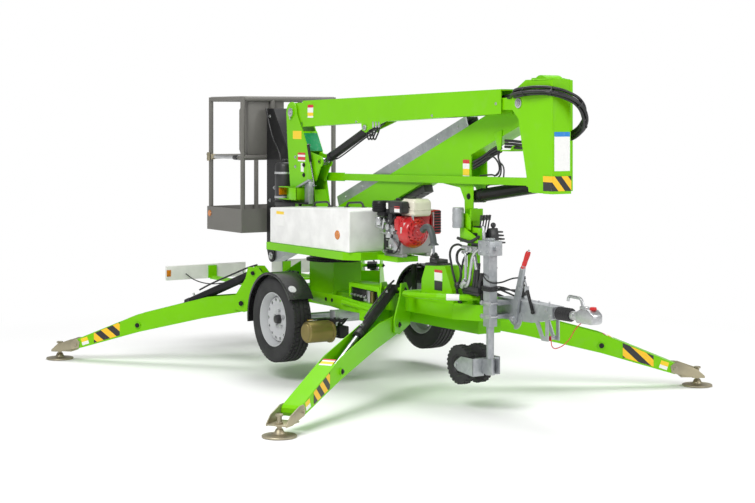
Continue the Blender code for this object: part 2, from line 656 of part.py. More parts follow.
def build_slew_ring():
    """The toothed ring under the deck, as a plain turned ring."""
    profile = [(0.060, 0.0), (0.205, 0.0), (0.205, 0.020), (0.185, 0.020),
               (0.185, RING_TOP - PEDESTAL_TOP - 2 * SEAT), (0.060, RING_TOP - PEDESTAL_TOP - 2 * SEAT)]
    return turned(profile, (SLEW_X, 0, PEDESTAL_TOP + SEAT), (0, 0, 1), 28)


DECK_LIP = 0.052


def build_deck():
    """The folded deck: a tray with a turned-down edge, and the tongue under the engine."""
    outline = [(-0.500, -0.450), (0.560, -0.460), (0.660, -0.380), (0.660, 0.020), (0.120, 0.450),
               (-0.500, 0.450)]
    lip_low = DECK_TOP - DECK_LIP
    tray = flat(outline, lip_low, DECK_TOP)
    hollow = [(-0.480, -0.430), (0.550, -0.440), (0.640, -0.370), (0.640, 0.010), (0.112, 0.430),
              (-0.480, 0.430)]
    under = flat(hollow, lip_low - 0.02, DECK_TOP - 0.012)
    hub = rod((SLEW_X, 0, RING_TOP), (SLEW_X, 0, DECK_TOP - 0.006), 0.215, 32)
    tongue = block((0.640, -0.250, 0.872), (0.900, -0.090, 0.884))
    edges = [block((0.640, -0.250, lip_low), (0.900, -0.238, 0.884)),
             block((0.640, -0.102, lip_low), (0.900, -0.090, 0.884)),
             block((0.888, -0.250, lip_low), (0.900, -0.090, 0.884))]
    ribs = [block((-0.490, side * 0.200 - 0.006, lip_low), (0.515 - side * 0.135, side * 0.200 + 0.006, 0.895))
            for side in (-1, 1)]
    return join(cut(tray, under), hub, tongue, *edges, *ribs)


def between(low, high, share):
    """The point a share of the way from one (x, z) to another."""
    return (low[0] + (high[0] - low[0]) * share, low[1] + (high[1] - low[1]) * share)


COLUMN_NEAR = BOOM_1_Y - BOOM_1_WIDTH / 2 - SIDE_GAP - PLATE
COLUMN_FAR = BOOM_1_Y + BOOM_1_WIDTH / 2 + SIDE_GAP + PLATE


COLUMN_FOOT_REAR, COLUMN_WAIST_REAR, COLUMN_WAIST_Z = -0.640, -0.700, 1.150


def column_rear(z):
    """The x just behind the column's rear web, below its waist."""
    share = (z - DECK_TOP) / (COLUMN_WAIST_Z - DECK_TOP)
    return COLUMN_FOOT_REAR + (COLUMN_WAIST_REAR - COLUMN_FOOT_REAR) * share - 0.0005


def build_column():
    """The leaning column: two side plates, front and rear webs, pins and the lift cylinder's ears."""
    foot = DECK_TOP + SEAT
    outline = [(COLUMN_FOOT_REAR, foot), (-0.320, foot), (-0.330, 1.100), (-0.400, 1.380), (-0.455, 1.560),
               (-0.600, 1.780)]
    outline += arc(PIN_A, 0.078, -10, 180, 8)
    outline += [(-0.760, 1.600), (COLUMN_WAIST_REAR, COLUMN_WAIST_Z)]
    sides = [upright(outline, COLUMN_NEAR, COLUMN_NEAR + PLATE),
             upright(outline, COLUMN_FAR - PLATE, COLUMN_FAR)]
    rear = upright([(COLUMN_FOOT_REAR, foot), (COLUMN_FOOT_REAR + 0.010, foot),
                    (COLUMN_WAIST_REAR + 0.010, COLUMN_WAIST_Z), (-0.742, 1.560), (-0.752, 1.560),
                    (COLUMN_WAIST_REAR, COLUMN_WAIST_Z)], COLUMN_NEAR, COLUMN_FAR)
    front = upright([(-0.330, foot), (-0.320, foot), (-0.330, 1.100), (-0.390, 1.270), (-0.400, 1.262),
                     (-0.341, 1.095)], COLUMN_NEAR, COLUMN_FAR)
    base = block((-0.680, COLUMN_NEAR - 0.030, foot), (-0.290, COLUMN_FAR, foot + 0.012))
    ears = []
    fx, fz = LIFT_1_FOOT
    ear = [(-0.460, 1.540), (-0.460, 1.360), (-0.380, 1.330)] + arc((fx, fz), 0.040, -80, 90, 6)
    for side in (-1, 1):
        near, far = sorted((BOOM_1_Y + side * 0.034, BOOM_1_Y + side * 0.042))
        ears.append(upright(ear, near, far))
        far_side = COLUMN_NEAR + PLATE if side < 0 else COLUMN_FAR - PLATE
        low, high = sorted((BOOM_1_Y + side * 0.034, far_side + side * 0.002))
        ears.append(block((-0.460, low, 1.380), (-0.440, high, 1.540)))
    pins = [pin_bar(PIN_A, COLUMN_NEAR - 0.008, COLUMN_FAR + 0.001, PIN_A_R),
            pin_bar(PIN_B, COLUMN_FAR - PLATE - 0.006, TIE_FAR + 0.003, TIE_PIN_R),
            pin_bar(LIFT_1_FOOT, BOOM_1_Y - 0.048, BOOM_1_Y - 0.029, LIFT_1_PIN_R),
            pin_bar(LIFT_1_FOOT, BOOM_1_Y + 0.029, BOOM_1_Y + 0.048, LIFT_1_PIN_R)]
    return join(base, *sides, rear, front, *ears, *pins)


def build_cover(side):
    """A white moulded cover along the deck's side, its top sloping to the rear; the left is short."""
    near, far, front = (0.175, 0.448, 0.620) if side < 0 else (0.200, 0.448, 0.100)
    foot, rear, top = DECK_TOP + SEAT, -0.450, 1.150
    rise = top + (front - rear) * 0.037
    outline = [(rear, foot), (front, foot), (front + 0.005, rise - 0.020), (front - 0.020, rise),
               (rear + 0.010, top), (rear, top - 0.010)]
    shell = upright(outline, *sorted((side * near, side * far)))
    upright_edges = [edge for edge in shell.edges
                     if abs(edge.verts[0].co.y - edge.verts[1].co.y) < 1e-6
                     and edge.verts[0].co.x > front - 0.010 and edge.verts[1].co.x > front - 0.010]
    bmesh.ops.bevel(shell, geom=upright_edges, offset=0.03, segments=3, profile=0.5,
                    affect="EDGES", material=-1)
    return tidy(shell)


def build_engine():
    """The engine's block, cylinder, silencer and air cleaner as one joined mass."""
    block_low = block((0.760, -0.260, 0.8843), (0.960, -0.020, 1.090))
    cylinder = block((0.720, -0.220, 1.000), (0.858, -0.060, 1.170))
    silencer = block((0.700, -0.300, 1.130), (0.860, -0.150, 1.255))
    cleaner = rod((0.700, -0.060, 1.100), (0.700, -0.060, 1.220), 0.070, 20)
    pump = rod((0.860, 0.040, 1.020), (0.860, -0.100, 1.020), 0.060, 20)
    return join(block_low, cylinder, silencer, cleaner, pump)


def build_shroud():
    """The red recoil housing on the engine's front face."""
    centre = (0.9603, -0.140, 1.030)
    return turned([(0.0, 0.0), (0.120, 0.0), (0.120, 0.050), (0.100, 0.085), (0.060, 0.095),
                   (0.0, 0.095)], centre, (1, 0, 0), 32)


def build_fuel_tank():
    """The engine's cream fuel tank with its cap."""
    tank = block((0.862, -0.260, 1.1550), (1.060, -0.020, 1.262))
    bmesh.ops.bevel(tank, geom=tank.edges[:], offset=0.025, segments=2, profile=0.5,
                    affect="EDGES", material=-1)
    cap = rod((0.960, -0.200, 1.250), (0.960, -0.200, 1.285), 0.026, 16)
    stand = block((0.885, -0.200, 1.0903), (0.945, -0.080, 1.170))
    return join(tank, cap, stand)


def build_hydraulic_tank():
    """The black hydraulic tank behind the column, on its shelf."""
    x, y = -0.875, -0.085
    tank = turned([(0.0, 0.0), (0.062, 0.0), (0.075, 0.015), (0.075, 0.320), (0.060, 0.345),
                   (0.0, 0.345)], (x, y, 1.112), (0, 0, 1), 28)
    shelf = block((x - 0.085, y - 0.085, 1.095), (-0.720, y + 0.070, 1.115))
    wall = upright([(-0.730, 1.115), (-0.730, 1.095), (column_rear(1.010) - 0.012, 1.010),
                    (column_rear(1.010), 1.010), (column_rear(1.115), 1.115)], y - 0.070, y + 0.070)
    return join(tank, shelf, wall)


# Booms

def build_boom_1():
    """The lower boom: a tapered hollow box, its lug at the knuckle and the cylinder's bracket."""
    half = BOOM_1_WIDTH / 2
    near, far = BOOM_1_Y - half, BOOM_1_Y + half
    tip_x = 1.830
    top_root, low_root = PIN_A[1] + 0.085, PIN_A[1] + 0.085 - BOOM_1_ROOT_DEPTH
    top_tip, low_tip = 1.960, 1.960 - BOOM_1_TIP_DEPTH
    root_x = -0.560
    tube = upright([(root_x, top_root), (root_x, low_root), (tip_x, low_tip), (tip_x, top_tip)], near, far)
    wall = BOX_WALL
    inside = upright([(root_x + 0.08, top_root - wall), (root_x + 0.08, low_root + wall),
                      (tip_x + 0.2, low_tip + wall), (tip_x + 0.2, top_tip - wall)],
                     near + wall, far - wall)
    tube = cut(tube, inside)
    root_lug = upright(arc(PIN_A, 0.070, 90, 270, 10) + [(root_x + 0.04, PIN_A[1] - 0.072),
                                                         (root_x + 0.04, PIN_A[1] + 0.072)], near, far)
    tip_lug = upright([(tip_x - 0.020, 1.835), (tip_x - 0.020, 1.905)] + arc(PIN_C, 0.045, 70, -70, 8),
                      near + 0.012, far - 0.012)
    tip_plug = block((tip_x - 0.060, near + 0.003, 1.835), (tip_x - 0.010, far - 0.003, 1.905))
    bores = [pin_bar(PIN_A, near - 1, far + 1, PIN_A_R + PIN_GAP),
             pin_bar(PIN_C, near - 1, far + 1, KNUCKLE_PIN_R + PIN_GAP)]
    ex, ez = LIFT_1_EYE
    bracket = [(ex - 0.060, 1.765), (ex - 0.045, ez - 0.020)] + arc((ex, ez), 0.034, 225, 330, 5)
    bracket += [(ex + 0.260, 1.765)]
    ears = [upright(bracket, near, near + PLATE), upright(bracket, far - PLATE, far)]
    mouth = block((ex - 0.080, near + PLATE, ez - 0.100), (ex + LIFT_1_TAIL + 0.050, far - PLATE, ez + 0.070))
    stubs = []
    for side in (-1, 1):
        inner = BOOM_1_Y + side * TRUNNION_IN
        low, high = sorted((inner, BOOM_1_Y + side * (half + 0.004)))
        stubs.append(rod((ex, low, ez), (ex, high, ez), LIFT_1_PIN_R, 16))
    return join(cut(join(tube, root_lug, tip_lug, tip_plug), mouth, *bores), *ears, *stubs)


TRUNNION_IN, TRUNNION_FACE = 0.0325, 0.0382


def build_lift_1():
    """The lower boom's cylinder: its rod end in the column, its barrel on trunnions in the boom."""
    bore_r, rod_r = 0.030, 0.017
    foot = Vector((LIFT_1_FOOT[0], BOOM_1_Y, LIFT_1_FOOT[1]))
    eye = Vector((LIFT_1_EYE[0], BOOM_1_Y, LIFT_1_EYE[1]))
    along = (eye - foot).normalized()
    tail = eye + along * LIFT_1_TAIL
    mouth = foot + along * 0.085
    parts = []
    for side in (-1, 1):
        face = Vector((0, side * TRUNNION_FACE, 0))
        boss = rod(eye + face * 0.70, eye + face, 0.024, 16)
        blind = rod(eye + face * ((TRUNNION_IN - RUN_GAP) / TRUNNION_FACE), eye + face * 2,
                    LIFT_1_PIN_R + PIN_GAP, 16)
        parts.append(cut(boss, blind))
    barrel = rod(mouth, tail, bore_r, 14)
    blinds = [rod(eye + Vector((0, side * (TRUNNION_IN - RUN_GAP), 0)), eye + Vector((0, side * 0.1, 0)),
                  LIFT_1_PIN_R + PIN_GAP, 16) for side in (-1, 1)]
    inside = rod(mouth - along, tail - along * 0.030, rod_r + RUN_GAP, 12)
    barrel = cut(join(barrel, *parts), inside, *blinds)
    across = Vector((0, 0.026, 0))
    shaft = join(rod(foot, tail - along * 0.045, rod_r, 12), rod(foot - across, foot + across, 0.027, 14))
    return barrel, shaft




def build_tie_rod():
    """The parallel tie rod: a slim box with thicker sleeves and an eye at each end."""
    near, far = TIE_NEAR, TIE_FAR
    slope = (PIN_D[1] - PIN_B[1]) / (PIN_D[0] - PIN_B[0])

    def stretch(from_x, to_x, half, grow):
        low_a = PIN_B[1] + (from_x - PIN_B[0]) * slope
        low_b = PIN_B[1] + (to_x - PIN_B[0]) * slope
        return upright([(from_x, low_a - half), (to_x, low_b - half), (to_x, low_b + half),
                        (from_x, low_a + half)], near + grow, far - grow)

    bar = stretch(PIN_B[0] + 0.010, PIN_D[0] - 0.010, TIE_HALF - 0.006, 0.001)
    sleeves = [stretch(PIN_B[0] + 0.045, PIN_B[0] + 0.340, TIE_HALF, 0.0),
               stretch(PIN_D[0] - 0.280, PIN_D[0] - 0.045, TIE_HALF, 0.0)]
    eyes = [rod((pin[0], near, pin[1]), (pin[0], far, pin[1]), 0.034, 14) for pin in (PIN_B, PIN_D)]
    bores = [pin_bar(pin, near - 1, far + 1, TIE_PIN_R + PIN_GAP) for pin in (PIN_B, PIN_D)]
    return cut(join(bar, *sleeves, *eyes), *bores)


KNUCKLE_NEAR, KNUCKLE_MID, KNUCKLE_FAR = -0.140, -0.008, 0.165
KNUCKLE_FRONT, KNUCKLE_LOW = PIN_D[0] + 0.137, PIN_D[1] - 0.056
WEB_X, LUG_NEAR = PIN_F[0] + 0.040, TIE_FAR + 0.008


def build_knuckle():
    """The knuckle: three upright plates, a front box to the right and a web behind it to the left."""
    front_x, low = KNUCKLE_FRONT, KNUCKLE_LOW
    side = [(2.030, 1.780), (PIN_D[0] - 0.083, low), (front_x, low), (front_x, 2.010),
            (2.100, 2.010), (2.010, 1.960), (1.965, 1.900), (1.965, 1.840)]
    near = upright(side, KNUCKLE_NEAR, KNUCKLE_NEAR + PLATE)
    rear = PIN_F[0] - 0.075
    head = [(2.080, 2.025), (2.000, 2.025), (1.975, 1.970)]
    middle = upright([(1.990, 1.880), (rear, low + 0.080), (rear, low), (front_x, low), (front_x, 2.010)]
                     + head, KNUCKLE_MID - PLATE, KNUCKLE_MID)
    outer = upright([(1.990, 1.880), (rear, low + 0.080), (rear, low), (WEB_X + 0.010, low),
                     (WEB_X + 0.010, 2.010)] + head, KNUCKLE_FAR - PLATE, KNUCKLE_FAR)
    front = block((front_x - PLATE, KNUCKLE_NEAR, low), (front_x, KNUCKLE_MID, 2.010))
    split = PIN_F[1] + 0.120
    web = block((WEB_X, KNUCKLE_MID - 0.002, split), (WEB_X + 0.010, KNUCKLE_FAR - 0.002, 2.010))
    web_low = block((WEB_X, LUG_NEAR, low), (WEB_X + 0.010, KNUCKLE_FAR - 0.002, split + 0.002))
    lug = upright([(rear + 0.030, PIN_F[1] - 0.030), (WEB_X + 0.002, low), (WEB_X + 0.002, split),
                   (PIN_F[0] + 0.010, PIN_F[1] + 0.036), (rear + 0.030, PIN_F[1] + 0.030)],
                  LUG_NEAR, LUG_NEAR + PLATE)
    foot = block((front_x - 0.080, KNUCKLE_NEAR - 0.004, low - 0.005),
                 (front_x + 0.004, KNUCKLE_MID + 0.004, low + 0.100))
    crown = block((2.240, KNUCKLE_NEAR + 0.002, 2.000), (front_x - 0.002, KNUCKLE_MID - 0.002, 2.008))
    pins = [pin_bar(PIN_C, KNUCKLE_NEAR - 0.006, KNUCKLE_MID - 0.001, KNUCKLE_PIN_R),
            pin_bar(PIN_D, KNUCKLE_MID - PLATE - 0.006, TIE_FAR + 0.003, TIE_PIN_R),
            pin_bar(PIN_E, KNUCKLE_MID - PLATE - 0.005, KNUCKLE_FAR + 0.006, KNUCKLE_PIN_R),
            pin_bar(PIN_F, LUG_NEAR - 0.003, LUG_NEAR + PLATE + 0.004, LIFT_2_PIN_R),
            pin_bar(PIN_F, KNUCKLE_FAR - 0.020, KNUCKLE_FAR + 0.006, LIFT_2_PIN_R)]
    return join(near, middle, outer, front, web, web_low, lug, foot, crown, *pins)


def boom_2_plane():
    """The matrix from boom 2's own frame, x rearwards along it from pin E, to the machine."""
    tilt = Matrix.Rotation(-BOOM_2_SLOPE, 4, "Y")
    return Matrix.Translation((PIN_E[0], BOOM_2_Y, PIN_E[1])) @ tilt @ Matrix.Rotation(math.pi, 4, "Z")


def boom_2_local(pin):
    """A machine (x, z) pin as (along, up) in boom 2's own frame."""
    spot = boom_2_plane().inverted() @ Vector((pin[0], BOOM_2_Y, pin[1]))
    return spot.x, spot.z


BOOM_2_TOP = 0.030
BOOM_2_LOW = BOOM_2_TOP - BOOM_2_DEPTH
BOOM_2_START, BOOM_2_END = 0.110, 2.480
SECTION_TOP = BOOM_2_TOP - BOX_WALL - 0.004
SECTION_LOW = SECTION_TOP - SECTION_DEPTH
SECTION_MIDDLE = (SECTION_TOP + SECTION_LOW) / 2
SECTION_START = BOOM_2_END - 2.120


def nose_along():
    """How far along boom 2's frame the cage's pivot lies."""
    return (PIN_E[0] - NOSE_X - SECTION_MIDDLE * math.sin(BOOM_2_SLOPE)) / math.cos(BOOM_2_SLOPE)


def nose_pin():
    """The cage's pivot in the machine, as (x, z)."""
    spot = boom_2_plane() @ Vector((nose_along(), 0, SECTION_MIDDLE))
    return spot.x, spot.z


def build_boom_2():
    """The upper boom's outer box, its head lug, mouth plate and the cylinder's hanging bracket."""
    half = BOOM_2_WIDTH / 2
    tube = block((BOOM_2_START, -half, BOOM_2_LOW), (BOOM_2_END, half, BOOM_2_TOP))
    inside = block((BOOM_2_START + 0.12, -half + BOX_WALL, BOOM_2_LOW + BOX_WALL),
                   (BOOM_2_END + 0.1, half - BOX_WALL, BOOM_2_TOP - BOX_WALL))
    tube = cut(tube, inside)
    head = upright([(BOOM_2_START + 0.010, BOOM_2_TOP)] + arc((0, 0), 0.072, 65, 250, 12)
                   + [(BOOM_2_START + 0.010, BOOM_2_LOW + 0.010)], -half, half)
    slot_block = block((BOOM_2_END - 0.060, -half + 0.003, BOOM_2_LOW + 0.003),
                       (BOOM_2_END, half - 0.003, SECTION_LOW - RUN_GAP))
    cheeks = []
    for side in (-1, 1):
        low, high = sorted((side * (SECTION_WIDTH / 2 + RUN_GAP), side * (half - 0.003)))
        cheeks.append(block((BOOM_2_END - 0.060, low, BOOM_2_LOW + 0.003),
                            (BOOM_2_END, high, BOOM_2_TOP - 0.003)))
    gx, gz = boom_2_local(PIN_G)
    bracket = [(gx - 0.130, BOOM_2_LOW + 0.020), (gx - 0.045, gz + 0.010)]
    bracket += arc((gx, gz), 0.042, 190, 350, 6) + [(gx + 0.060, gz + 0.080), (gx + 0.420, BOOM_2_LOW + 0.020)]
    plates = [upright(bracket, -half, -half + PLATE), upright(bracket, half - PLATE, half)]
    pins = [pin_bar((gx, gz), -half - 0.006, half + 0.001, LIFT_2_PIN_R)]
    bore = pin_bar((0, 0), -1, 1, KNUCKLE_PIN_R + PIN_GAP)
    return moved(join(cut(join(tube, head), bore), slot_block, *cheeks, *plates, *pins), boom_2_plane())


def build_boom_tray():
    """The galvanised cable tray on top of the upper boom, a folded channel open at its left."""
    low = BOOM_2_TOP + SEAT
    outline = [(-0.050, low), (0.050, low), (0.050, low + 0.078), (0.040, low + 0.078),
               (0.040, low + 0.004), (-0.046, low + 0.004), (-0.046, low + 0.078), (-0.050, low + 0.078)]
    tray = plate(outline, 0.800, BOOM_2_END, lambda a, b, depth: (depth, a, b))
    lid = block((0.800, -0.050, low + 0.074), (BOOM_2_END, 0.050, low + 0.078))
    return moved(join(tray, lid), boom_2_plane())


def build_cable_chain():
    """The energy chain under the upper boom as its row of links, one toothed outline."""
    top = BOOM_2_LOW - SEAT
    start, pitch, count = 1.420, 0.050, 18
    outline = [(start, top), (start, top - 0.050)]
    for index in range(count):
        at = start + pitch * index
        outline += [(at + pitch * 0.75, top - 0.050), (at + pitch * 0.80, top - 0.043),
                    (at + pitch * 0.95, top - 0.043), (at + pitch, top - 0.050)]
    outline += [(start + pitch * count, top)]
    return moved(upright(outline, -0.035, 0.035), boom_2_plane())


def build_section():
    """The galvanised telescopic section: a hollow box with the solid nose that carries the cage."""
    half = SECTION_WIDTH / 2
    along = nose_along()
    box_end = along - 0.110
    tube = block((SECTION_START, -half, SECTION_LOW), (box_end, half, SECTION_TOP))
    inside = block((SECTION_START - 0.1, -half + 0.005, SECTION_LOW + 0.005),
                   (box_end - 0.060, half - 0.005, SECTION_TOP - 0.005))
    nose = upright([(box_end - 0.010, SECTION_LOW), (along - 0.02, SECTION_MIDDLE - 0.046)]
                   + arc((along, SECTION_MIDDLE), 0.046, -90, 90, 10)
                   + [(box_end - 0.010, SECTION_TOP)], -half, half)
    bore = pin_bar((along, SECTION_MIDDLE), -1, 1, NOSE_PIN_R + PIN_GAP)
    return moved(cut(join(cut(tube, inside), nose), bore), boom_2_plane())


# Cage

CAGE_SHEET = 0.004
CAGE_INSET = CAGE_SHEET + SEAT + CAGE_TUBE


def build_cage_pan():
    """The cage's floor and its toe boards, one folded pan."""
    outer = block((CAGE_REAR_X, CAGE_RIGHT_Y, CAGE_FLOOR_Z), (CAGE_FRONT_X, CAGE_LEFT_Y, CAGE_FLOOR_Z + 0.183))
    inner = block((CAGE_REAR_X + CAGE_SHEET, CAGE_RIGHT_Y + CAGE_SHEET, CAGE_FLOOR_Z + 0.006),
                  (CAGE_FRONT_X - CAGE_SHEET, CAGE_LEFT_Y - CAGE_SHEET, CAGE_FLOOR_Z + 0.3))
    return cut(outer, inner)


def cage_loop(z):
    """A closed rail round the cage at one height, as four overlapping tubes."""
    right, left = CAGE_RIGHT_Y + CAGE_INSET, CAGE_LEFT_Y - CAGE_INSET
    front, rear = CAGE_FRONT_X - CAGE_INSET, CAGE_REAR_X + CAGE_INSET
    return [rod((front, right, z), (front, left, z), CAGE_TUBE, 8),
            rod((rear, right, z), (rear, left, z), CAGE_TUBE, 8),
            rod((front, left, z), (rear, left, z), CAGE_TUBE, 8)], (front, rear, right, left)


CAGE_MID_Z, GATE_HINGE = 1.480, 0.048


def build_cage_frame():
    """The cage's welded tubes: posts, top rail, mid rails, the doorway's uprights and lanyard rings."""
    top_z = CAGE_TOP_Z - CAGE_TUBE
    foot = CAGE_FLOOR_Z + 0.006 + SEAT
    top, (front, rear, right, left) = cage_loop(top_z)
    middle, _ = cage_loop(CAGE_MID_Z)
    rails = [*top, *middle, rod((front, right, top_z), (rear, right, top_z), CAGE_TUBE, 8)]
    posts = [rod((x, y, foot), (x, y, top_z + CAGE_TUBE * 0.8), CAGE_TUBE, 8)
             for x in (front, rear) for y in (right, left)]
    posts.append(rod((rear, (right + left) / 2, foot), (rear, (right + left) / 2, top_z), CAGE_TUBE, 8))
    posts.append(rod((front, 0.085, foot), (front, 0.085, top_z), CAGE_TUBE, 8))
    rings = []
    for x in (front - 0.050, rear + 0.050):
        ring = upright([(x - 0.030, CAGE_MID_Z)] + arc((x, CAGE_MID_Z - 0.045), 0.026, 180, 360, 8)
                       + [(x + 0.030, CAGE_MID_Z)], left - 0.004, left + 0.004)
        hole = rod((x, left - 1, CAGE_MID_Z - 0.045), (x, left + 1, CAGE_MID_Z - 0.045), 0.014, 12)
        rings.append(cut(ring, hole))
    start = front - GATE_HINGE
    for side in (-1, 1):
        near, far = sorted((right + side * 0.0125, right + side * 0.0175))
        ear = [(front, CAGE_MID_Z - 0.014), (front, CAGE_MID_Z + 0.014), (start, CAGE_MID_Z + 0.014),
               (start - 0.014, CAGE_MID_Z), (start, CAGE_MID_Z - 0.014)]
        rails.append(upright(ear, near, far))
    rails.append(pin_bar((start, CAGE_MID_Z), right - 0.022, right + 0.022, 0.008))
    first = posts.pop()
    return join(first, *rails, *posts, *rings)


def build_cage_gate():
    """The lift-up entry bar on the cage's right side, with its hinge eye at the front."""
    front, rear = CAGE_FRONT_X - CAGE_INSET, CAGE_REAR_X + CAGE_INSET
    right = CAGE_RIGHT_Y + CAGE_INSET
    start = front - GATE_HINGE
    bar = rod((start - 0.015, right, CAGE_MID_Z), (rear + CAGE_TUBE + 0.004, right, CAGE_MID_Z), 0.013)
    eye = rod((start, right - 0.012, CAGE_MID_Z), (start, right + 0.012, CAGE_MID_Z), 0.020, 14)
    return cut(join(bar, eye), pin_bar((start, CAGE_MID_Z), right - 1, right + 1, 0.008 + PIN_GAP))


def build_console():
    """The grey control console inside the cage's front, its top sloped to the operator."""
    front = CAGE_FRONT_X - CAGE_INSET - CAGE_TUBE - SEAT
    return upright([(front, 1.500), (front, 1.930), (front - 0.060, 1.930), (front - 0.150, 1.850),
                    (front - 0.150, 1.540), (front - 0.120, 1.500)], -0.120, 0.200)


def build_cage_bracket():
    """The black arm between the nose and the cage: two plates, a back plate and the pivot pin."""
    nx, nz = nose_pin()
    inner = SECTION_WIDTH / 2 + SIDE_GAP
    back_x = CAGE_FRONT_X + SEAT
    outline = [(back_x, 1.100), (back_x, 1.860), (-1.245, 1.860), (-0.955, 1.450), (-0.955, 1.370),
               (-1.160, 1.080), (-1.225, 0.860)]
    outline += arc((nx, nz), 0.048, 25, -150, 8) + [(back_x, 0.770)]
    plates = []
    for side in (-1, 1):
        near, far = sorted((BOOM_2_Y + side * inner, BOOM_2_Y + side * (inner + PLATE)))
        plates.append(upright(outline, near, far))
    low, high = BOOM_2_Y - inner - PLATE, BOOM_2_Y + inner + PLATE
    back = block((back_x, low, 0.770), (back_x + 0.008, high, 1.860))
    nose_web = upright([(-1.255, 1.845), (-1.245, 1.860), (-0.955, 1.450), (-0.965, 1.440)], low, high)
    pin = pin_bar((nx, nz), low - 0.006, high + 0.006, NOSE_PIN_R)
    feet = [block((CAGE_FRONT_X - 0.0040, BOOM_2_Y - 0.020, z - 0.015), (back_x + 0.004, BOOM_2_Y + 0.020, z + 0.015))
            for z in (CAGE_MID_Z, CAGE_TOP_Z - 0.130)]
    return join(back, *plates, nose_web, pin, *feet)


# Assembly

def pin_at(pin, y=0.0):
    """A machine (x, z) pin as a point."""
    return (pin[0], y, pin[1])


def build_chassis():
    """Everything that stays on the ground with the frame."""
    node("chassis_frame", build_frame(), "green_paint")
    node("axle_beam", build_axle(), "galvanised")
    for name, side in (("right", -1), ("left", 1)):
        centre = (0, side * TYRE_Y, AXLE_Z)
        node(f"mudguard_{name}", build_mudguard(side), "black_rubber")
        node(f"tyre_{name}", build_tyre(side), "black_rubber", centre)
        node(f"rim_{name}", build_rim(side), "rim_silver", centre)
    node("traction_motor", build_traction_motor(), "yellow_zinc")
    node("drawbar", build_drawbar(), "galvanised")
    node("overrun_bellows", build_bellows(), "black_rubber")
    node("coupling_head", build_coupling(), "galvanised")
    node("handbrake_lever", build_handbrake(), "galvanised", (1.880, 0, 0.575))
    node("jockey_mast", build_jockey_mast(), "galvanised")
    node("jockey_tube", build_jockey_tube(), "galvanised", (*JOCKEY, 0.330))
    node("jockey_fork", build_jockey_fork(), "galvanised", (*JOCKEY, 0.330))
    node("jockey_wheels", build_jockey_wheels(), "black_rubber", JOCKEY_AXLE)
    node("outrigger_valves", build_valves(), "black_paint")
    node("light_board", build_light_board(), "white_shell")


def build_outriggers():
    """The four legs, each with its foot and its lifting cylinder."""
    for leg, (x, y, _) in LEG_ROOTS.items():
        root = (x, y, LEG_ROOT_Z)
        barrel, shaft = build_leg_ram(leg)
        foot_pin = leg_plane(leg) @ Vector((LEG_CYL_S, 0, LEG_CYL_Z))
        node(f"leg_{leg}", build_leg(leg), "green_paint", root)
        node(f"foot_{leg}", build_foot(leg), "yellow_zinc", root)
        node(f"leg_ram_{leg}", barrel, "black_paint", foot_pin)
        node(f"leg_rod_{leg}", shaft, "chrome_rod", foot_pin)


def build_turntable():
    """Everything that slews: ring, deck, column, covers, engine and hydraulic tank."""
    centre = (SLEW_X, 0, PEDESTAL_TOP)
    node("slew_ring", build_slew_ring(), "black_paint", centre)
    node("turntable_deck", build_deck(), "green_paint", centre)
    node("column", build_column(), "green_paint", centre)
    node("cover_right", build_cover(-1), "white_shell", centre)
    node("cover_left", build_cover(1), "white_shell", centre)
    node("engine", build_engine(), "black_paint", centre)
    node("engine_shroud", build_shroud(), "red_shroud", centre)
    node("fuel_tank", build_fuel_tank(), "cream_tank", centre)
    node("hydraulic_tank", build_hydraulic_tank(), "black_paint", centre)


def build_booms():
    """The folding booms with their two cylinders, and the telescopic section."""
    node("boom_1", build_boom_1(), "green_paint", pin_at(PIN_A))
    node("tie_rod", build_tie_rod(), "green_paint", pin_at(PIN_B))
    node("knuckle", build_knuckle(), "green_paint", pin_at(PIN_C))
    node("boom_2", build_boom_2(), "green_paint", pin_at(PIN_E))
    node("boom_tray", build_boom_tray(), "galvanised", pin_at(PIN_E))
    node("cable_chain", build_cable_chain(), "black_paint", pin_at(PIN_E))
    node("telescopic_section", build_section(), "galvanised", pin_at(nose_pin()))
    barrel, shaft = build_lift_1()
    node("lift_ram_1", barrel, "black_paint", pin_at(LIFT_1_EYE))
    node("lift_rod_1", shaft, "chrome_rod", pin_at(LIFT_1_EYE))
    plane_2 = Matrix.Translation((0, BOOM_2_Y, 0))
    barrel, shaft = ram(PIN_G, PIN_F, plane_2, 0.042, 0.024, LIFT_2_PIN_R + PIN_GAP, 0.93, 0.096)
    node("lift_ram_2", barrel, "black_paint", pin_at(PIN_G))
    node("lift_rod_2", shaft, "chrome_rod", pin_at(PIN_G))


def build_cage():
    """The work cage with its console, entry bar and carrying arm."""
    nose = pin_at(nose_pin())
    front = CAGE_FRONT_X - CAGE_INSET
    node("cage_pan", build_cage_pan(), "grey_paint", nose)
    node("cage_frame", build_cage_frame(), "grey_paint", nose)
    node("cage_console", build_console(), "grey_paint", nose)
    node("cage_arm", build_cage_bracket(), "black_paint", nose)
    node("cage_gate", build_cage_gate(), "galvanised",
         (front - GATE_HINGE, CAGE_RIGHT_Y + CAGE_INSET, CAGE_MID_Z))


def main():
    """Clear the scene's objects and build the machine under one empty."""
    for item in list(bpy.data.objects):
        bpy.data.objects.remove(item)
    machine = bpy.data.objects.new("machine", None)
    machine.location = (-MIDDLE_X, 0, 0)
    bpy.context.scene.collection.objects.link(machine)
    build_chassis()
    build_outriggers()
    build_turntable()
    build_booms()
    build_cage()


main()
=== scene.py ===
"""Looks of the towable boom lift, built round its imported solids.

Sizes are in metres in the machine's own frame, whose X = 0 is the road wheels' axle, +X points to
the coupling, +Y to the machine's left and +Z up. Workshop moves each piece into the pack's frame.
"""
from __future__ import annotations

import json
import logging
import math
from dataclasses import dataclass, field
from enum import Enum
from typing import Callable, Iterable, Sequence

import bmesh
import bpy
from mathutils import Matrix, Vector

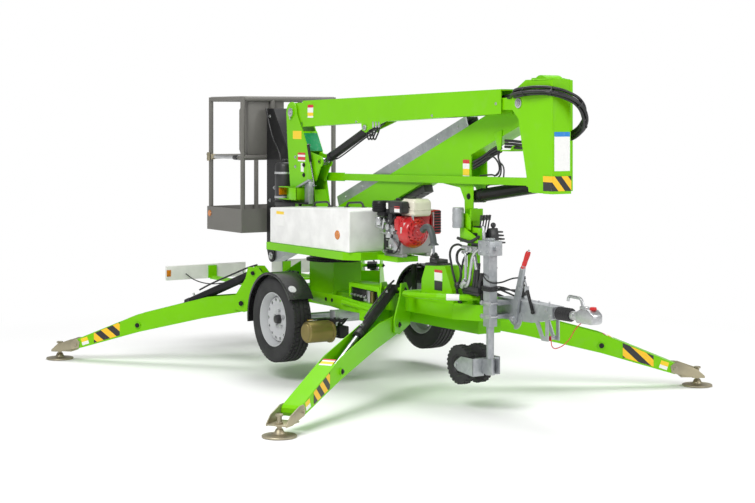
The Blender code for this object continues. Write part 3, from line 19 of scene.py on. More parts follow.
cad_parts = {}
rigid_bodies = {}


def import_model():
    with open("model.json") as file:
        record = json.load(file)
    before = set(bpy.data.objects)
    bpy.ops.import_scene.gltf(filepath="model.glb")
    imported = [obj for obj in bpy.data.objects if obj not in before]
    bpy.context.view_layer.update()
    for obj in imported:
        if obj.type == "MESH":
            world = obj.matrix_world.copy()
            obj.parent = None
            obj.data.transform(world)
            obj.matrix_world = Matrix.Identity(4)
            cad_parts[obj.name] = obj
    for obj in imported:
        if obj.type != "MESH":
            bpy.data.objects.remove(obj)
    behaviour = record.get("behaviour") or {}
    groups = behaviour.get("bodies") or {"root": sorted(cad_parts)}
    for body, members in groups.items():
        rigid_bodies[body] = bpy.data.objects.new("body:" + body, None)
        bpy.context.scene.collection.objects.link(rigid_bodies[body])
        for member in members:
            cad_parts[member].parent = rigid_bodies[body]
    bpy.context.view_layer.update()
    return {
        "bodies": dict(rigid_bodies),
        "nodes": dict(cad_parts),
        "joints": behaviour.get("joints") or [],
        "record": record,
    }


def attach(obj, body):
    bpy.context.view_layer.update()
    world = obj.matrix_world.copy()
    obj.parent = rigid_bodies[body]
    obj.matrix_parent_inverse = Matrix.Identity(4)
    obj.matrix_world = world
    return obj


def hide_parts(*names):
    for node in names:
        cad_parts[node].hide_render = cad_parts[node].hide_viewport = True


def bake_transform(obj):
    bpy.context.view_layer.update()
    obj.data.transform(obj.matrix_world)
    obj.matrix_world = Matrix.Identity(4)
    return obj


log = logging.getLogger("boom_lift")

Point = Sequence[float]
Colour = tuple[float, float, float]
MACHINE_X = -0.325  # where the machine's X = 0 lies in the pack's frame
PROUD = 0.0012  # how far tapes and labels stand off their face
SHARP = 0.6  # edges with a larger angle are bevelled, in radians
MERGE = 1e-6  # vertices nearer than this become one
BEND_STEPS = 6  # steps of a tube's bend
WASHER = 0.002  # a washer's thickness
SUNK = 0.0005  # how far washers and heads reach into what carries them
AHEAD, LEFT, UP = (1, 0, 0), (0, 1, 0), (0, 0, 1)
BACK, RIGHT = (-1, 0, 0), (0, -1, 0)


class Wire:
    """One socket of a shader tree, on which Python's operators add Math nodes."""

    def __init__(self, tree: bpy.types.NodeTree, socket: bpy.types.NodeSocket) -> None:
        """Keep the tree and the socket."""
        self.tree = tree
        self.socket = socket

    def math(self, operation: str, *values: "Wire | float") -> "Wire":
        """Add a Math node.

        Args:
            operation: The node's operation.
            values: Its inputs in order.

        Returns:
            The node's result.
        """
        made = self.tree.nodes.new("ShaderNodeMath")
        made.operation = operation
        for port, value in zip(made.inputs, values):
            plug(self.tree, port, value)
        return Wire(self.tree, made.outputs[0])

    def __add__(self, other: "Wire | float") -> "Wire":
        """Sum."""
        return self.math("ADD", self, other)

    def __radd__(self, other: float) -> "Wire":
        """Sum, from the right."""
        return self.math("ADD", other, self)

    def __sub__(self, other: "Wire | float") -> "Wire":
        """Difference."""
        return self.math("SUBTRACT", self, other)

    def __rsub__(self, other: float) -> "Wire":
        """Difference, from the right."""
        return self.math("SUBTRACT", other, self)

    def __mul__(self, other: "Wire | float") -> "Wire":
        """Product."""
        return self.math("MULTIPLY", self, other)

    def step(self, low: float, high: float) -> "Wire":
        """A soft step from 0 at low to 1 at high."""
        made = self.tree.nodes.new("ShaderNodeMapRange")
        made.interpolation_type = "SMOOTHSTEP"
        for port, value in zip(made.inputs, (self, low, high)):
            plug(self.tree, port, value)
        return Wire(self.tree, made.outputs[0])


def plug(tree: bpy.types.NodeTree, port: bpy.types.NodeSocket, value: object) -> None:
    """Link a wire to a port, or set the port to a number, colour or vector."""
    if isinstance(value, Wire):
        tree.links.new(value.socket, port)
    elif hasattr(value, "__len__") and len(value) == 3 and port.type == "RGBA":
        port.default_value = (*value, 1.0)
    else:
        port.default_value = value


class Recipe:
    """A material in the making: its tree, its shader and the few nodes that finishes share."""

    def __init__(self, name: str) -> None:
        """Start an empty Principled material."""
        self.material = bpy.data.materials.new(name)
        self.material.use_nodes = True
        self.tree = self.material.node_tree
        self.shader = self.tree.nodes["Principled BSDF"]

    def node(self, kind: str, output: int | str = 0, inputs: dict | None = None,
             **settings: object) -> Wire:
        """Add any other node.

        Args:
            kind: The node's type.
            output: The output to give back.
            inputs: Values or wires by socket name or number.
            settings: The node's own settings, set before its sockets.

        Returns:
            The chosen output.
        """
        made = self.tree.nodes.new(kind)
        for key, value in settings.items():
            setattr(made, key, value)
        for key, value in (inputs or {}).items():
            plug(self.tree, made.inputs[key], value)
        return Wire(self.tree, made.outputs[output])

    def place(self) -> Wire:
        """The Object coordinates."""
        return self.node("ShaderNodeTexCoord", "Object")

    def axis(self, name: str) -> Wire:
        """One part, X, Y or Z, of the place."""
        return self.node("ShaderNodeSeparateXYZ", name, {0: self.place()})

    def noise(self, scale: float, detail: float) -> Wire:
        """Noise from 0 to 1 of a scale per metre."""
        return self.node("ShaderNodeTexNoise", 0,
                         {"Vector": self.place(), "Scale": scale, "Detail": detail})

    def mix(self, factor: Wire | float, first: object, second: object) -> Wire:
        """A colour between two."""
        return self.node("ShaderNodeMix", 2, {0: factor, 6: first, 7: second}, data_type="RGBA")

    def soft_edges(self, radius: float) -> Wire:
        """A normal that rounds the edges of the solids."""
        return self.node("ShaderNodeBevel", 0, {"Radius": radius}, samples=4)

    def edge_mask(self, normal: Wire) -> Wire:
        """One along the rounded edges, nought on the flats."""
        true = self.node("ShaderNodeNewGeometry", "Normal")
        dot = self.node("ShaderNodeVectorMath", "Value", {0: normal, 1: true}, operation="DOT_PRODUCT")
        return 1.0 - dot.step(0.9, 0.995)

    def bump(self, height: Wire, strength: float, distance: float, normal: Wire | None = None) -> Wire:
        """A Bump node."""
        inputs = {"Height": height, "Strength": strength, "Distance": distance}
        if normal:
            inputs["Normal"] = normal
        return self.node("ShaderNodeBump", 0, inputs)

    def finish(self, **sockets: object) -> bpy.types.Material:
        """Feed the shader.

        Args:
            sockets: Values or wires by socket name, with _ for a space.

        Returns:
            The finished material.
        """
        for key, value in sockets.items():
            plug(self.tree, self.shader.inputs[key.replace("_", " ")], value)
        return self.material


@dataclass(frozen=True)
class Finish:
    """A finish: its own name and the record's slot that it belongs to."""

    name: str
    slot: str

    def make(self) -> bpy.types.Material:
        """The material."""
        raise NotImplementedError


@dataclass(frozen=True)
class Paint(Finish):
    """Sprayed or powder paint: a slightly waved gloss that thins on the edges, with faint dust."""

    colour: Colour = (0.195, 0.6, 0.0012)
    roughness: float = 0.3
    coat: float = 0.05
    gleam: float = 0.16
    peel: float = 0.1
    edge: float = 0.35
    radius: float = 0.0022

    def make(self) -> bpy.types.Material:
        """The material."""
        r = Recipe(self.name)
        rounded = r.soft_edges(self.radius)
        tone = r.noise(2.3, 3.0).step(0.3, 0.7)
        pale = tuple(min(1.0, part * 1.25 + 0.02) for part in self.colour)
        deep = tuple(part * 0.93 for part in self.colour)
        colour = r.mix(tone, deep, self.colour)
        colour = r.mix(r.edge_mask(rounded) * self.edge, colour, pale)
        dust = r.noise(14.0, 6.0).step(0.52, 0.75)
        colour = r.mix(dust * 0.035, colour, (0.45, 0.42, 0.36))
        height = r.noise(420.0, 1.0)
        r.shader.inputs["Specular IOR Level"].default_value = self.gleam
        return r.finish(Base_Color=colour, Roughness=dust * 0.12 + self.roughness,
                        Coat_Weight=self.coat, Coat_Roughness=0.08,
                        Normal=r.bump(height, self.peel, 0.0004, rounded))


@dataclass(frozen=True)
class Zinc(Finish):
    """Zinc on steel: the flowers of hot-dip zinc, or the tinted film of passivated zinc."""

    colour: Colour = (0.52, 0.54, 0.55)
    tint: Colour = (0.36, 0.38, 0.4)
    flower: float = 55.0
    roughness: float = 0.42
    metallic: float = 0.78

    def make(self) -> bpy.types.Material:
        """The material."""
        r = Recipe(self.name)
        rounded = r.soft_edges(0.0016)
        cell = r.node("ShaderNodeTexVoronoi", "Color", {"Vector": r.place(), "Scale": self.flower})
        grain = r.node("ShaderNodeSeparateColor", 0, {0: cell})
        cloud = r.noise(7.0, 5.0).step(0.35, 0.7)
        share = grain * 0.45 + cloud * 0.55
        colour = r.mix(share, self.tint, self.colour)
        colour = r.mix(r.edge_mask(rounded) * 0.3, colour, (0.75, 0.76, 0.77))
        return r.finish(Base_Color=colour, Metallic=self.metallic,
                        Roughness=self.roughness + share * 0.12,
                        Normal=r.bump(r.noise(160.0, 3.0), 0.18, 0.0006, rounded))


@dataclass(frozen=True)
class Moulded(Finish):
    """Moulded or cast stuff: an even colour with a fine grain and rounded edges."""

    colour: Colour = (0.02, 0.02, 0.02)
    roughness: float = 0.45
    grain: float = 0.15
    scale: float = 900.0
    metallic: float = 0.0
    radius: float = 0.0016
    coat: float = 0.0

    def make(self) -> bpy.types.Material:
        """The material."""
        r = Recipe(self.name)
        rounded = r.soft_edges(self.radius)
        pale = tuple(min(1.0, part * 1.12 + 0.008) for part in self.colour)
        colour = r.mix(r.noise(9.0, 4.0).step(0.35, 0.7), self.colour, pale)
        worn = tuple(min(1.0, part * 1.3 + 0.03) for part in self.colour)
        colour = r.mix(r.edge_mask(rounded) * 0.4, colour, worn)
        return r.finish(Base_Color=colour, Metallic=self.metallic, Coat_Weight=self.coat,
                        Roughness=self.roughness + r.noise(30.0, 3.0) * 0.12 - 0.06,
                        Normal=r.bump(r.noise(self.scale, 2.0), self.grain, 0.0005, rounded))


@dataclass(frozen=True)
class Polished(Finish):
    """Chromed or polished steel, with fine lengthwise marks of the seal."""

    colour: Colour = (0.3, 0.31, 0.33)
    roughness: float = 0.26

    def make(self) -> bpy.types.Material:
        """The material."""
        r = Recipe(self.name)
        film = r.noise(40.0, 4.0).step(0.45, 0.8)
        return r.finish(Base_Color=r.mix(film, self.colour, (0.24, 0.24, 0.25)), Metallic=1.0,
                        Roughness=film * 0.12 + self.roughness)


@dataclass(frozen=True)
class Stripes(Finish):
    """Hazard tape: slanting yellow and black bars along two axes of the place."""

    along: str = "X"
    up: str = "Z"
    pitch: float = 0.09
    slant: float = 1.0

    def make(self) -> bpy.types.Material:
        """The material."""
        r = Recipe(self.name)
        run = r.axis(self.along) + r.axis(self.up) * self.slant
        cycle = run * (1.0 / self.pitch)
        bar = cycle.math("FRACT", cycle)
        mask = bar.step(0.49, 0.51) * (1.0 - bar.step(0.985, 1.0))
        scuff = r.noise(60.0, 5.0).step(0.6, 0.72)
        colour = r.mix(mask, (0.016, 0.016, 0.016), (0.93, 0.53, 0.004))
        colour = r.mix(scuff * 0.1, colour, (0.5, 0.5, 0.45))
        return r.finish(Base_Color=colour, Roughness=scuff * 0.2 + 0.3, Coat_Weight=0.15)


@dataclass(frozen=True)
class Lens(Finish):
    """A moulded lamp lens or reflector with its small prisms."""

    colour: Colour = (0.75, 0.02, 0.01)
    prism: float = 240.0

    def make(self) -> bpy.types.Material:
        """The material."""
        r = Recipe(self.name)
        cells = r.node("ShaderNodeTexVoronoi", "Distance", {"Vector": r.place(), "Scale": self.prism})
        deep = tuple(part * 0.55 for part in self.colour)
        return r.finish(Base_Color=r.mix(cells.step(0.1, 0.6), self.colour, deep),
                        Roughness=cells * 0.1 + 0.12, Coat_Weight=0.5,
                        Normal=r.bump(cells, 0.5, 0.0012))


@dataclass(frozen=True)
class Tape(Finish):
    """Plain sticker film in one colour with a faint handled haze."""

    colour: Colour = (0.85, 0.85, 0.83)

    def make(self) -> bpy.types.Material:
        """The material."""
        r = Recipe(self.name)
        haze = r.noise(45.0, 4.0).step(0.5, 0.8)
        return r.finish(Base_Color=r.mix(haze * 0.15, self.colour, (0.55, 0.55, 0.52)),
                        Roughness=haze * 0.25 + 0.28)


class Kind(Enum):
    """The finishes of the machine."""

    GREEN = Paint("lime_paint", "green_paint")
    GREY = Paint("cage_powder", "grey_paint", (0.178, 0.172, 0.158), 0.46, 0.05, 0.22, 0.25)
    SLATE = Moulded("grey_grip", "grey_paint", (0.065, 0.075, 0.075), 0.48, 0.15, 700.0)
    BLACK = Paint("satin_black", "black_paint", (0.018, 0.018, 0.019), 0.38, 0.12, 0.12, 0.25)
    RIM = Paint("wheel_silver", "rim_silver", (0.5, 0.51, 0.52), 0.34, 0.25, 0.06, 0.2)
    GALVANISED = Zinc("dipped_zinc", "galvanised")
    ZINC = Zinc("yellow_zinc_film", "yellow_zinc", (0.5, 0.44, 0.3), (0.34, 0.31, 0.22), 12.0, 0.4)
    OLIVE = Zinc("olive_zinc", "yellow_zinc", (0.3, 0.235, 0.075), (0.21, 0.17, 0.055), 12.0, 0.34)
    BRIGHT = Zinc("bright_zinc", "galvanised", (0.66, 0.67, 0.68), (0.48, 0.49, 0.5), 90.0, 0.28, 0.9)
    CHROME = Polished("hard_chrome", "chrome_rod")
    WHITE = Moulded("white_cover", "white_shell", (0.8, 0.8, 0.785), 0.34, 0.06, 300.0, 0.0, 0.004, 0.2)
    LAMP_BODY = Moulded("lamp_board", "white_shell", (0.7, 0.7, 0.67), 0.42, 0.08, 500.0)
    TYRE = Moulded("tyre_rubber", "black_rubber", (0.017, 0.017, 0.018), 0.72, 0.25, 500.0)
    HOSE = Moulded("hose_rubber", "black_rubber", (0.014, 0.014, 0.015), 0.42, 0.2, 1100.0)
    PLASTIC = Moulded("black_plastic", "black_paint", (0.02, 0.02, 0.021), 0.36, 0.15, 700.0)
    GUARD = Moulded("mudguard_plastic", "black_rubber", (0.014, 0.014, 0.015), 0.24, 0.05, 200.0)
    CAST = Moulded("cast_alloy", "black_paint", (0.3, 0.3, 0.3), 0.48, 0.35, 420.0, 0.7)
    RED = Moulded("red_moulding", "red_shroud", (0.5, 0.01, 0.014), 0.3, 0.05, 300.0, 0.0, 0.003, 0.4)
    CREAM = Moulded("cream_tank", "cream_tank", (0.74, 0.7, 0.58), 0.26, 0.03, 200.0, 0.0, 0.004, 0.4)
    GRIP = Moulded("red_grip", "red_shroud", (0.55, 0.012, 0.012), 0.38, 0.08, 600.0)
    RED_LENS = Lens("red_lens", "red_shroud", (0.62, 0.012, 0.01))
    AMBER_LENS = Lens("amber_lens", "red_shroud", (0.92, 0.27, 0.004))
    CLEAR_LENS = Lens("white_reflector", "white_shell", (0.86, 0.87, 0.88))
    LABEL_WHITE = Tape("label_white", "white_shell")
    LABEL_YELLOW = Tape("label_yellow", "white_shell", (0.9, 0.62, 0.01))
    LABEL_BLUE = Tape("label_blue", "white_shell", (0.01, 0.22, 0.62))
    LABEL_RED = Tape("label_red", "red_shroud", (0.62, 0.02, 0.02))
    LABEL_GREEN = Tape("label_green", "green_paint", (0.01, 0.26, 0.1))
    HAZARD = Stripes("hazard_tape", "green_paint", "Y", "Z", 0.098, 0.9)


@dataclass
class Shape:
    """A mesh under construction. Each method adds one form and gives the shape back."""

    mesh: bmesh.types.BMesh = field(default_factory=bmesh.new)
    paint: int = 0

    def add(self, part: bmesh.types.BMesh, matrix: Matrix | None = None, bevel: float = 0.0,
            segments: int = 2, recalc: bool = True) -> "Shape":
        """Take in a part.

        Args:
            part: The part's mesh, freed here.
            matrix: Its place.
            bevel: Width of the bevel on its sharp edges.
            segments: Steps of that bevel.
            recalc: Whether its faces are turned outwards.

        Returns:
            This shape.
        """
        if bevel:
            sharp = [e for e in part.edges if len(e.link_faces) == 2 and e.calc_face_angle(0.0) > SHARP]
            bmesh.ops.bevel(part, geom=sharp, offset=bevel, segments=segments, profile=0.5,
                            affect="EDGES", material=-1, clamp_overlap=True)
        if matrix is not None:
            bmesh.ops.transform(part, matrix=matrix, verts=part.verts)
        if recalc:
            bmesh.ops.recalc_face_normals(part, faces=part.faces)
        for face in part.faces:
            face.material_index = self.paint
        data = bpy.data.meshes.new("passing")
        part.to_mesh(data)
        part.free()
        self.mesh.from_mesh(data)
        bpy.data.meshes.remove(data)
        return self

    def with_paint(self, index: int) -> "Shape":
        """Use another of the piece's materials from here on."""
        self.paint = index
        return self

    def block(self, low: Point, high: Point, bevel: float = 0.0, segments: int = 2) -> "Shape":
        """An upright box between two corners."""
        part = bmesh.new()
        bmesh.ops.create_cube(part, size=1.0)
        size = Vector([abs(b - a) for a, b in zip(low, high)])
        middle = (Vector(low) + Vector(high)) / 2
        bmesh.ops.scale(part, vec=size, verts=part.verts)
        return self.add(part, Matrix.Translation(middle), bevel, segments)

    def rod(self, start: Point, end: Point, radius: float, sides: int = 20, bevel: float = 0.0,
            end_radius: float | None = None) -> "Shape":
        """A round bar or cone between two points."""
        start, end = Vector(start), Vector(end)
        part = bmesh.new()
        bmesh.ops.create_cone(part, cap_ends=True, segments=sides, radius1=radius,
                              radius2=radius if end_radius is None else end_radius,
                              depth=(end - start).length)
        turn = (end - start).to_track_quat("Z", "Y").to_matrix().to_4x4()
        return self.add(part, Matrix.Translation((start + end) / 2) @ turn, bevel)

    def ball(self, centre: Point, radius: float, steps: int = 16) -> "Shape":
        """A ball."""
        part = bmesh.new()
        bmesh.ops.create_uvsphere(part, u_segments=steps, v_segments=max(6, steps // 2), radius=radius)
        return self.add(part, Matrix.Translation(Vector(centre)))

    def turned(self, profile: Sequence[Point], centre: Point, axis: Point,
               steps: int = 32) -> "Shape":
        """A closed (radius, height) profile spun about an axis through the centre."""
        part = bmesh.new()
        verts = [part.verts.new((radius, 0.0, height)) for radius, height in profile]
        pairs = zip(verts, verts[1:] + verts[:1])
        edges = [part.edges.new(pair) for pair in pairs if pair[0].co.x or pair[1].co.x]
        bmesh.ops.spin(part, geom=verts + edges, cent=(0, 0, 0), axis=(0, 0, 1), angle=math.tau,
                       steps=steps, use_merge=True)
        bmesh.ops.remove_doubles(part, verts=part.verts, dist=MERGE)
        loose = [edge for edge in part.edges if not edge.link_faces]
        bmesh.ops.delete(part, geom=loose, context="EDGES")
        turn = Vector(axis).to_track_quat("Z", "Y").to_matrix().to_4x4()
        return self.add(part, Matrix.Translation(Vector(centre)) @ turn)

    def ring(self, inner: float, outer: float, low: float, high: float, centre: Point, axis: Point,
             steps: int) -> "Shape":
        """A square-cut ring about an axis through the centre."""
        profile = [(inner, low), (outer, low), (outer, high), (inner, high)]
        return self.turned(profile, centre, axis, steps)

    def plate(self, outline: Sequence[Point], near: float, far: float, plane: Matrix,
              bevel: float = 0.0, segments: int = 2) -> "Shape":
        """An outline in a plane's X and Y, extruded along its Z from near to far."""
        part = bmesh.new()
        face = part.faces.new([part.verts.new((a, b, near)) for a, b in outline])
        grown = bmesh.ops.extrude_face_region(part, geom=[face])
        tops = [item for item in grown["geom"] if isinstance(item, bmesh.types.BMVert)]
        bmesh.ops.translate(part, vec=(0, 0, far - near), verts=tops)
        bmesh.ops.recalc_face_normals(part, faces=part.faces)
        return self.add(part, plane, bevel, segments)

    def upright(self, outline: Sequence[Point], near: float, far: float, bevel: float = 0.0,
                segments: int = 2) -> "Shape":
        """A plate whose outline lies in X and Z, from y near to y far."""
        return self.plate(outline, -near, -far, Matrix.Rotation(math.pi / 2, 4, "X"), bevel, segments)

    def flat(self, outline: Sequence[Point], low: float, high: float, bevel: float = 0.0) -> "Shape":
        """A plate whose outline lies in X and Y."""
        return self.plate(outline, low, high, Matrix.Identity(4), bevel)

    def hose(self, points: Sequence[Point], radius: float, steps: int = 6, round_steps: int = 2,
             smooth: bool = True) -> "Shape":
        """A smooth hose, tube or wire along points, or straight runs where smooth is off."""
        curve = bpy.data.curves.new("passing", "CURVE")
        curve.dimensions = "3D"
        curve.resolution_u = steps
        curve.bevel_depth = radius
        curve.bevel_resolution = round_steps
        curve.use_fill_caps = True
        spline = curve.splines.new("BEZIER")
        spline.bezier_points.add(len(points) - 1)
        for knot, point in zip(spline.bezier_points, points):
            knot.co = point
            knot.handle_left_type = knot.handle_right_type = "AUTO" if smooth else "VECTOR"
        holder = bpy.data.objects.new("passing", curve)
        data = bpy.data.meshes.new_from_object(holder)
        part = bmesh.new()
        part.from_mesh(data)
        bpy.data.objects.remove(holder)
        bpy.data.curves.remove(curve)
        bpy.data.meshes.remove(data)
        bmesh.ops.remove_doubles(part, verts=part.verts, dist=MERGE)
        return self.add(part)

    def tube(self, points: Sequence[Point], radius: float, bend: float) -> "Shape":
        """A bent metal tube: straight runs joined by round bends."""
        points = [Vector(point) for point in points]
        route = [points[0]]
        for before, corner, after in zip(points, points[1:], points[2:]):
            reach = min(bend, (before - corner).length * 0.49, (after - corner).length * 0.49)
            start = corner + (before - corner).normalized() * reach
            end = corner + (after - corner).normalized() * reach
            for step in range(BEND_STEPS + 1):
                t = step / BEND_STEPS
                route.append(start * (1 - t) ** 2 + corner * 2 * t * (1 - t) + end * t * t)
        route.append(points[-1])
        return self.hose(route, radius, 1, 3, smooth=False)

    def around(self, part: Callable[["Shape"], None], count: int, centre: Point, axis: Point,
               phase: float = 0.0) -> "Shape":
        """Repeat a part round an axis.

        Args:
            part: Adds the part, built about the origin with its axis along Z, to a shape.
            count: How many.
            centre: A point of the axis.
            axis: The axis.
            phase: Turn of the first, in degrees.

        Returns:
            This shape.
        """
        turn = Vector(axis).to_track_quat("Z", "Y").to_matrix().to_4x4()
        for index in range(count):
            one = Shape()
            part(one)
            spin = Matrix.Rotation(math.tau * index / count + math.radians(phase), 4, "Z")
            self.add(one.mesh, Matrix.Translation(Vector(centre)) @ turn @ spin, recalc=False)
        return self

    def move(self, matrix: Matrix) -> "Shape":
        """Move the whole shape."""
        bmesh.ops.transform(self.mesh, matrix=matrix, verts=self.mesh.verts)
        return self


def arc(centre: Point, radius: float, start: float, end: float, steps: int) -> list[tuple[float, float]]:
    """Points on an arc, angles in degrees."""
    turns = [math.radians(start + (end - start) * step / steps) for step in range(steps + 1)]
    return [(centre[0] + radius * math.cos(t), centre[1] + radius * math.sin(t)) for t in turns]


def both_ways(half: list[tuple[float, float]]) -> list[tuple[float, float]]:
    """A wheel's profile from its first half."""
    return half + [(radius, -height) for radius, height in reversed(half)]


def across(x: float, y: float = 0.0, z: float = 0.0) -> Matrix:
    """A plane across the machine: its X points to the left, its Y up and its Z ahead."""
    return Matrix(((0, 0, 1, x), (1, 0, 0, y), (0, 1, 0, z), (0, 0, 0, 1)))


def cut(body: Shape, tools: Shape) -> Shape:
    """The body with the tools cut out of it by an exact Boolean."""
    holders = []
    for shape in (body, tools):
        data = bpy.data.meshes.new("passing")
        shape.mesh.to_mesh(data)
        shape.mesh.free()
        holder = bpy.data.objects.new("passing", data)
        bpy.context.scene.collection.objects.link(holder)
        holders.append(holder)
    modifier = holders[0].modifiers.new("cut", "BOOLEAN")
    modifier.operation = "DIFFERENCE"
    modifier.solver = "EXACT"
    modifier.object = holders[1]
    mesh = bmesh.new()
    mesh.from_object(holders[0], bpy.context.evaluated_depsgraph_get())
    for holder in holders:
        data = holder.data
        bpy.data.objects.remove(holder)
        bpy.data.meshes.remove(data)
    return Shape(mesh)


class Workshop:
    """Makes pieces of finished shapes, on their bodies and in their finishes."""

    def __init__(self, frame: dict) -> None:
        """Keep the loaded frame."""
        self.frame = frame
        self.made: dict[Kind, bpy.types.Material] = {}
        self.count = 0

    def material(self, kind: Kind) -> bpy.types.Material:
        """The material of a finish, made once."""
        if kind not in self.made:
            self.made[kind] = kind.value.make()
        return self.made[kind]

    def dress(self, kind: Kind, *nodes: str) -> None:
        """Give carried-over solids their finish."""
        for name in nodes:
            data = self.frame["nodes"][name].data
            data.materials.clear()
            data.materials.append(self.material(kind))

    def place(self, name: str, shape: Shape, kinds: Kind | Sequence[Kind], body: str,
              replaces: Iterable[str] = (), angle: float = 38.0,
              blend: tuple[str, str, Point, Point] | None = None) -> None:
        """Make a piece.

        Args:
            name: The piece's name.
            shape: Its shape in the machine's frame, used up here.
            kinds: Its finish, or several for its material numbers.
            body: The body that it rides on.
            replaces: The solids that it stands for.
            angle: Edges sharper than this stay sharp, in degrees.
            blend: Two bodies and two points along the piece; when given, the piece's transform is baked and
                it rides on no body, and the bodies and points are not used.
        """
        kinds = [kinds] if isinstance(kinds, Kind) else list(kinds)
        shape.move(Matrix.Translation((MACHINE_X, 0, 0)))
        data = bpy.data.meshes.new(name)
        shape.mesh.to_mesh(data)
        shape.mesh.free()
        data.shade_smooth()
        data.set_sharp_from_angle(angle=math.radians(angle))
        for kind in kinds:
            data.materials.append(self.material(kind))
        piece = bpy.data.objects.new(name, data)
        bpy.context.scene.collection.objects.link(piece)
        if blend:
            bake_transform(piece)
        else:
            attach(piece, body)
        if replaces:
            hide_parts(*replaces)
        self.count += 1
        log.info("%s on %s, %d faces", name, body, len(data.polygons))


LEG_ROOTS = {
    "front_right": (0.959, -0.365, -57.8),
    "front_left": (0.959, 0.365, 57.8),
    "rear_right": (-0.634, -0.552, 222.4),
    "rear_left": (-0.634, 0.552, 137.6),
}


def leg_plane(leg: str) -> Matrix:
    """The matrix from a leg's plane (along, across, up) to the machine."""
    x, y, heading = LEG_ROOTS[leg]
    return Matrix.Translation((x, y, 0)) @ Matrix.Rotation(math.radians(heading), 4, "Z")


def hand(side: int) -> str:
    """The name of a side: -1 is right, 1 is left."""
    return "right" if side < 0 else "left"


def span(side: int, near: float, far: float) -> list[float]:
    """Two distances to one side as a low and a high y."""
    return sorted((side * near, side * far))


def bolt(shape: Shape, at: Point, axis: Point, size: float, proud: float) -> Shape:
    """A hexagon bolt head on its washer, standing out along the axis."""
    at, axis = Vector(at), Vector(axis).normalized()
    shape.rod(at - axis * SUNK, at + axis * WASHER, size * 1.55, 20)
    return shape.rod(at + axis * (WASHER - SUNK), at + axis * (WASHER + proud), size, 6,
                     end_radius=size * 0.94)


def gas_strut(start: Vector, end: Vector, share: float, radius: float, rod: float) -> Shape:
    """A gas strut: its cylinder along a share of its length and its rod in the second finish."""
    shape = Shape().rod(start, start + (end - start) * share, radius, 20, 0.001)
    return shape.with_paint(1).rod(start + (end - start) * (share - 0.02), end, rod, 14)


def reflector(radius: float, at: Point, axis: Point, steps: int) -> Shape:
    """A round reflector."""
    profile = [(0.0, 0.0), (radius, 0.0), (radius + 0.001, 0.003), (radius - 0.0015, 0.006), (0.0, 0.007)]
    return Shape().turned(profile, at, axis, steps)


def fitting(shape: Shape, at: Point, axis: Point, radius: float) -> Shape:
    """A hose end: a crimped ferrule and its nut."""
    at, axis = Vector(at), Vector(axis).normalized()
    shape.rod(at, at + axis * 0.014, radius * 1.35, 6)
    return shape.rod(at + axis * 0.012, at + axis * 0.04, radius * 1.15, 14)


FILMS = {"W": Kind.LABEL_WHITE, "Y": Kind.LABEL_YELLOW, "B": Kind.LABEL_BLUE, "R": Kind.LABEL_RED,
         "G": Kind.LABEL_GREEN, "K": Kind.PLASTIC}


def label(shop: Workshop, name: str, body: str, corner: Point, right: Point, up: Point, width: float,
          height: float, films: str, bands: Sequence[float] = (1.0,)) -> None:
    """A thin blank label in coloured bands.

    Args:
        shop: The workshop.
        name: The piece's name.
        body: The body that it rides on.
        corner: Its lower left corner as it is read.
        right: The direction to its right.
        up: The direction to its top.
        width: Its width.
        height: Its height.
        films: The letter of each band's finish, from the bottom.
        bands: Each band's share of the height, from the bottom.
    """
    right, up = Vector(right).normalized(), Vector(up).normalized()
    plane = Matrix((right, up, right.cross(up))).transposed().to_4x4()
    plane = Matrix.Translation(Vector(corner)) @ plane
    shape = Shape()
    low = 0.0
    used: list[Kind] = []
    for film, share in zip(films, bands):
        kind = FILMS[film]
        if kind not in used:
            used.append(kind)
        high = low + share * height
        outline = [(0, low), (width, low), (width, high), (0, high)]
        shape.with_paint(used.index(kind)).plate(outline, -0.0006, PROUD, plane)
        low = high
    shop.place(name, shape, used, body)


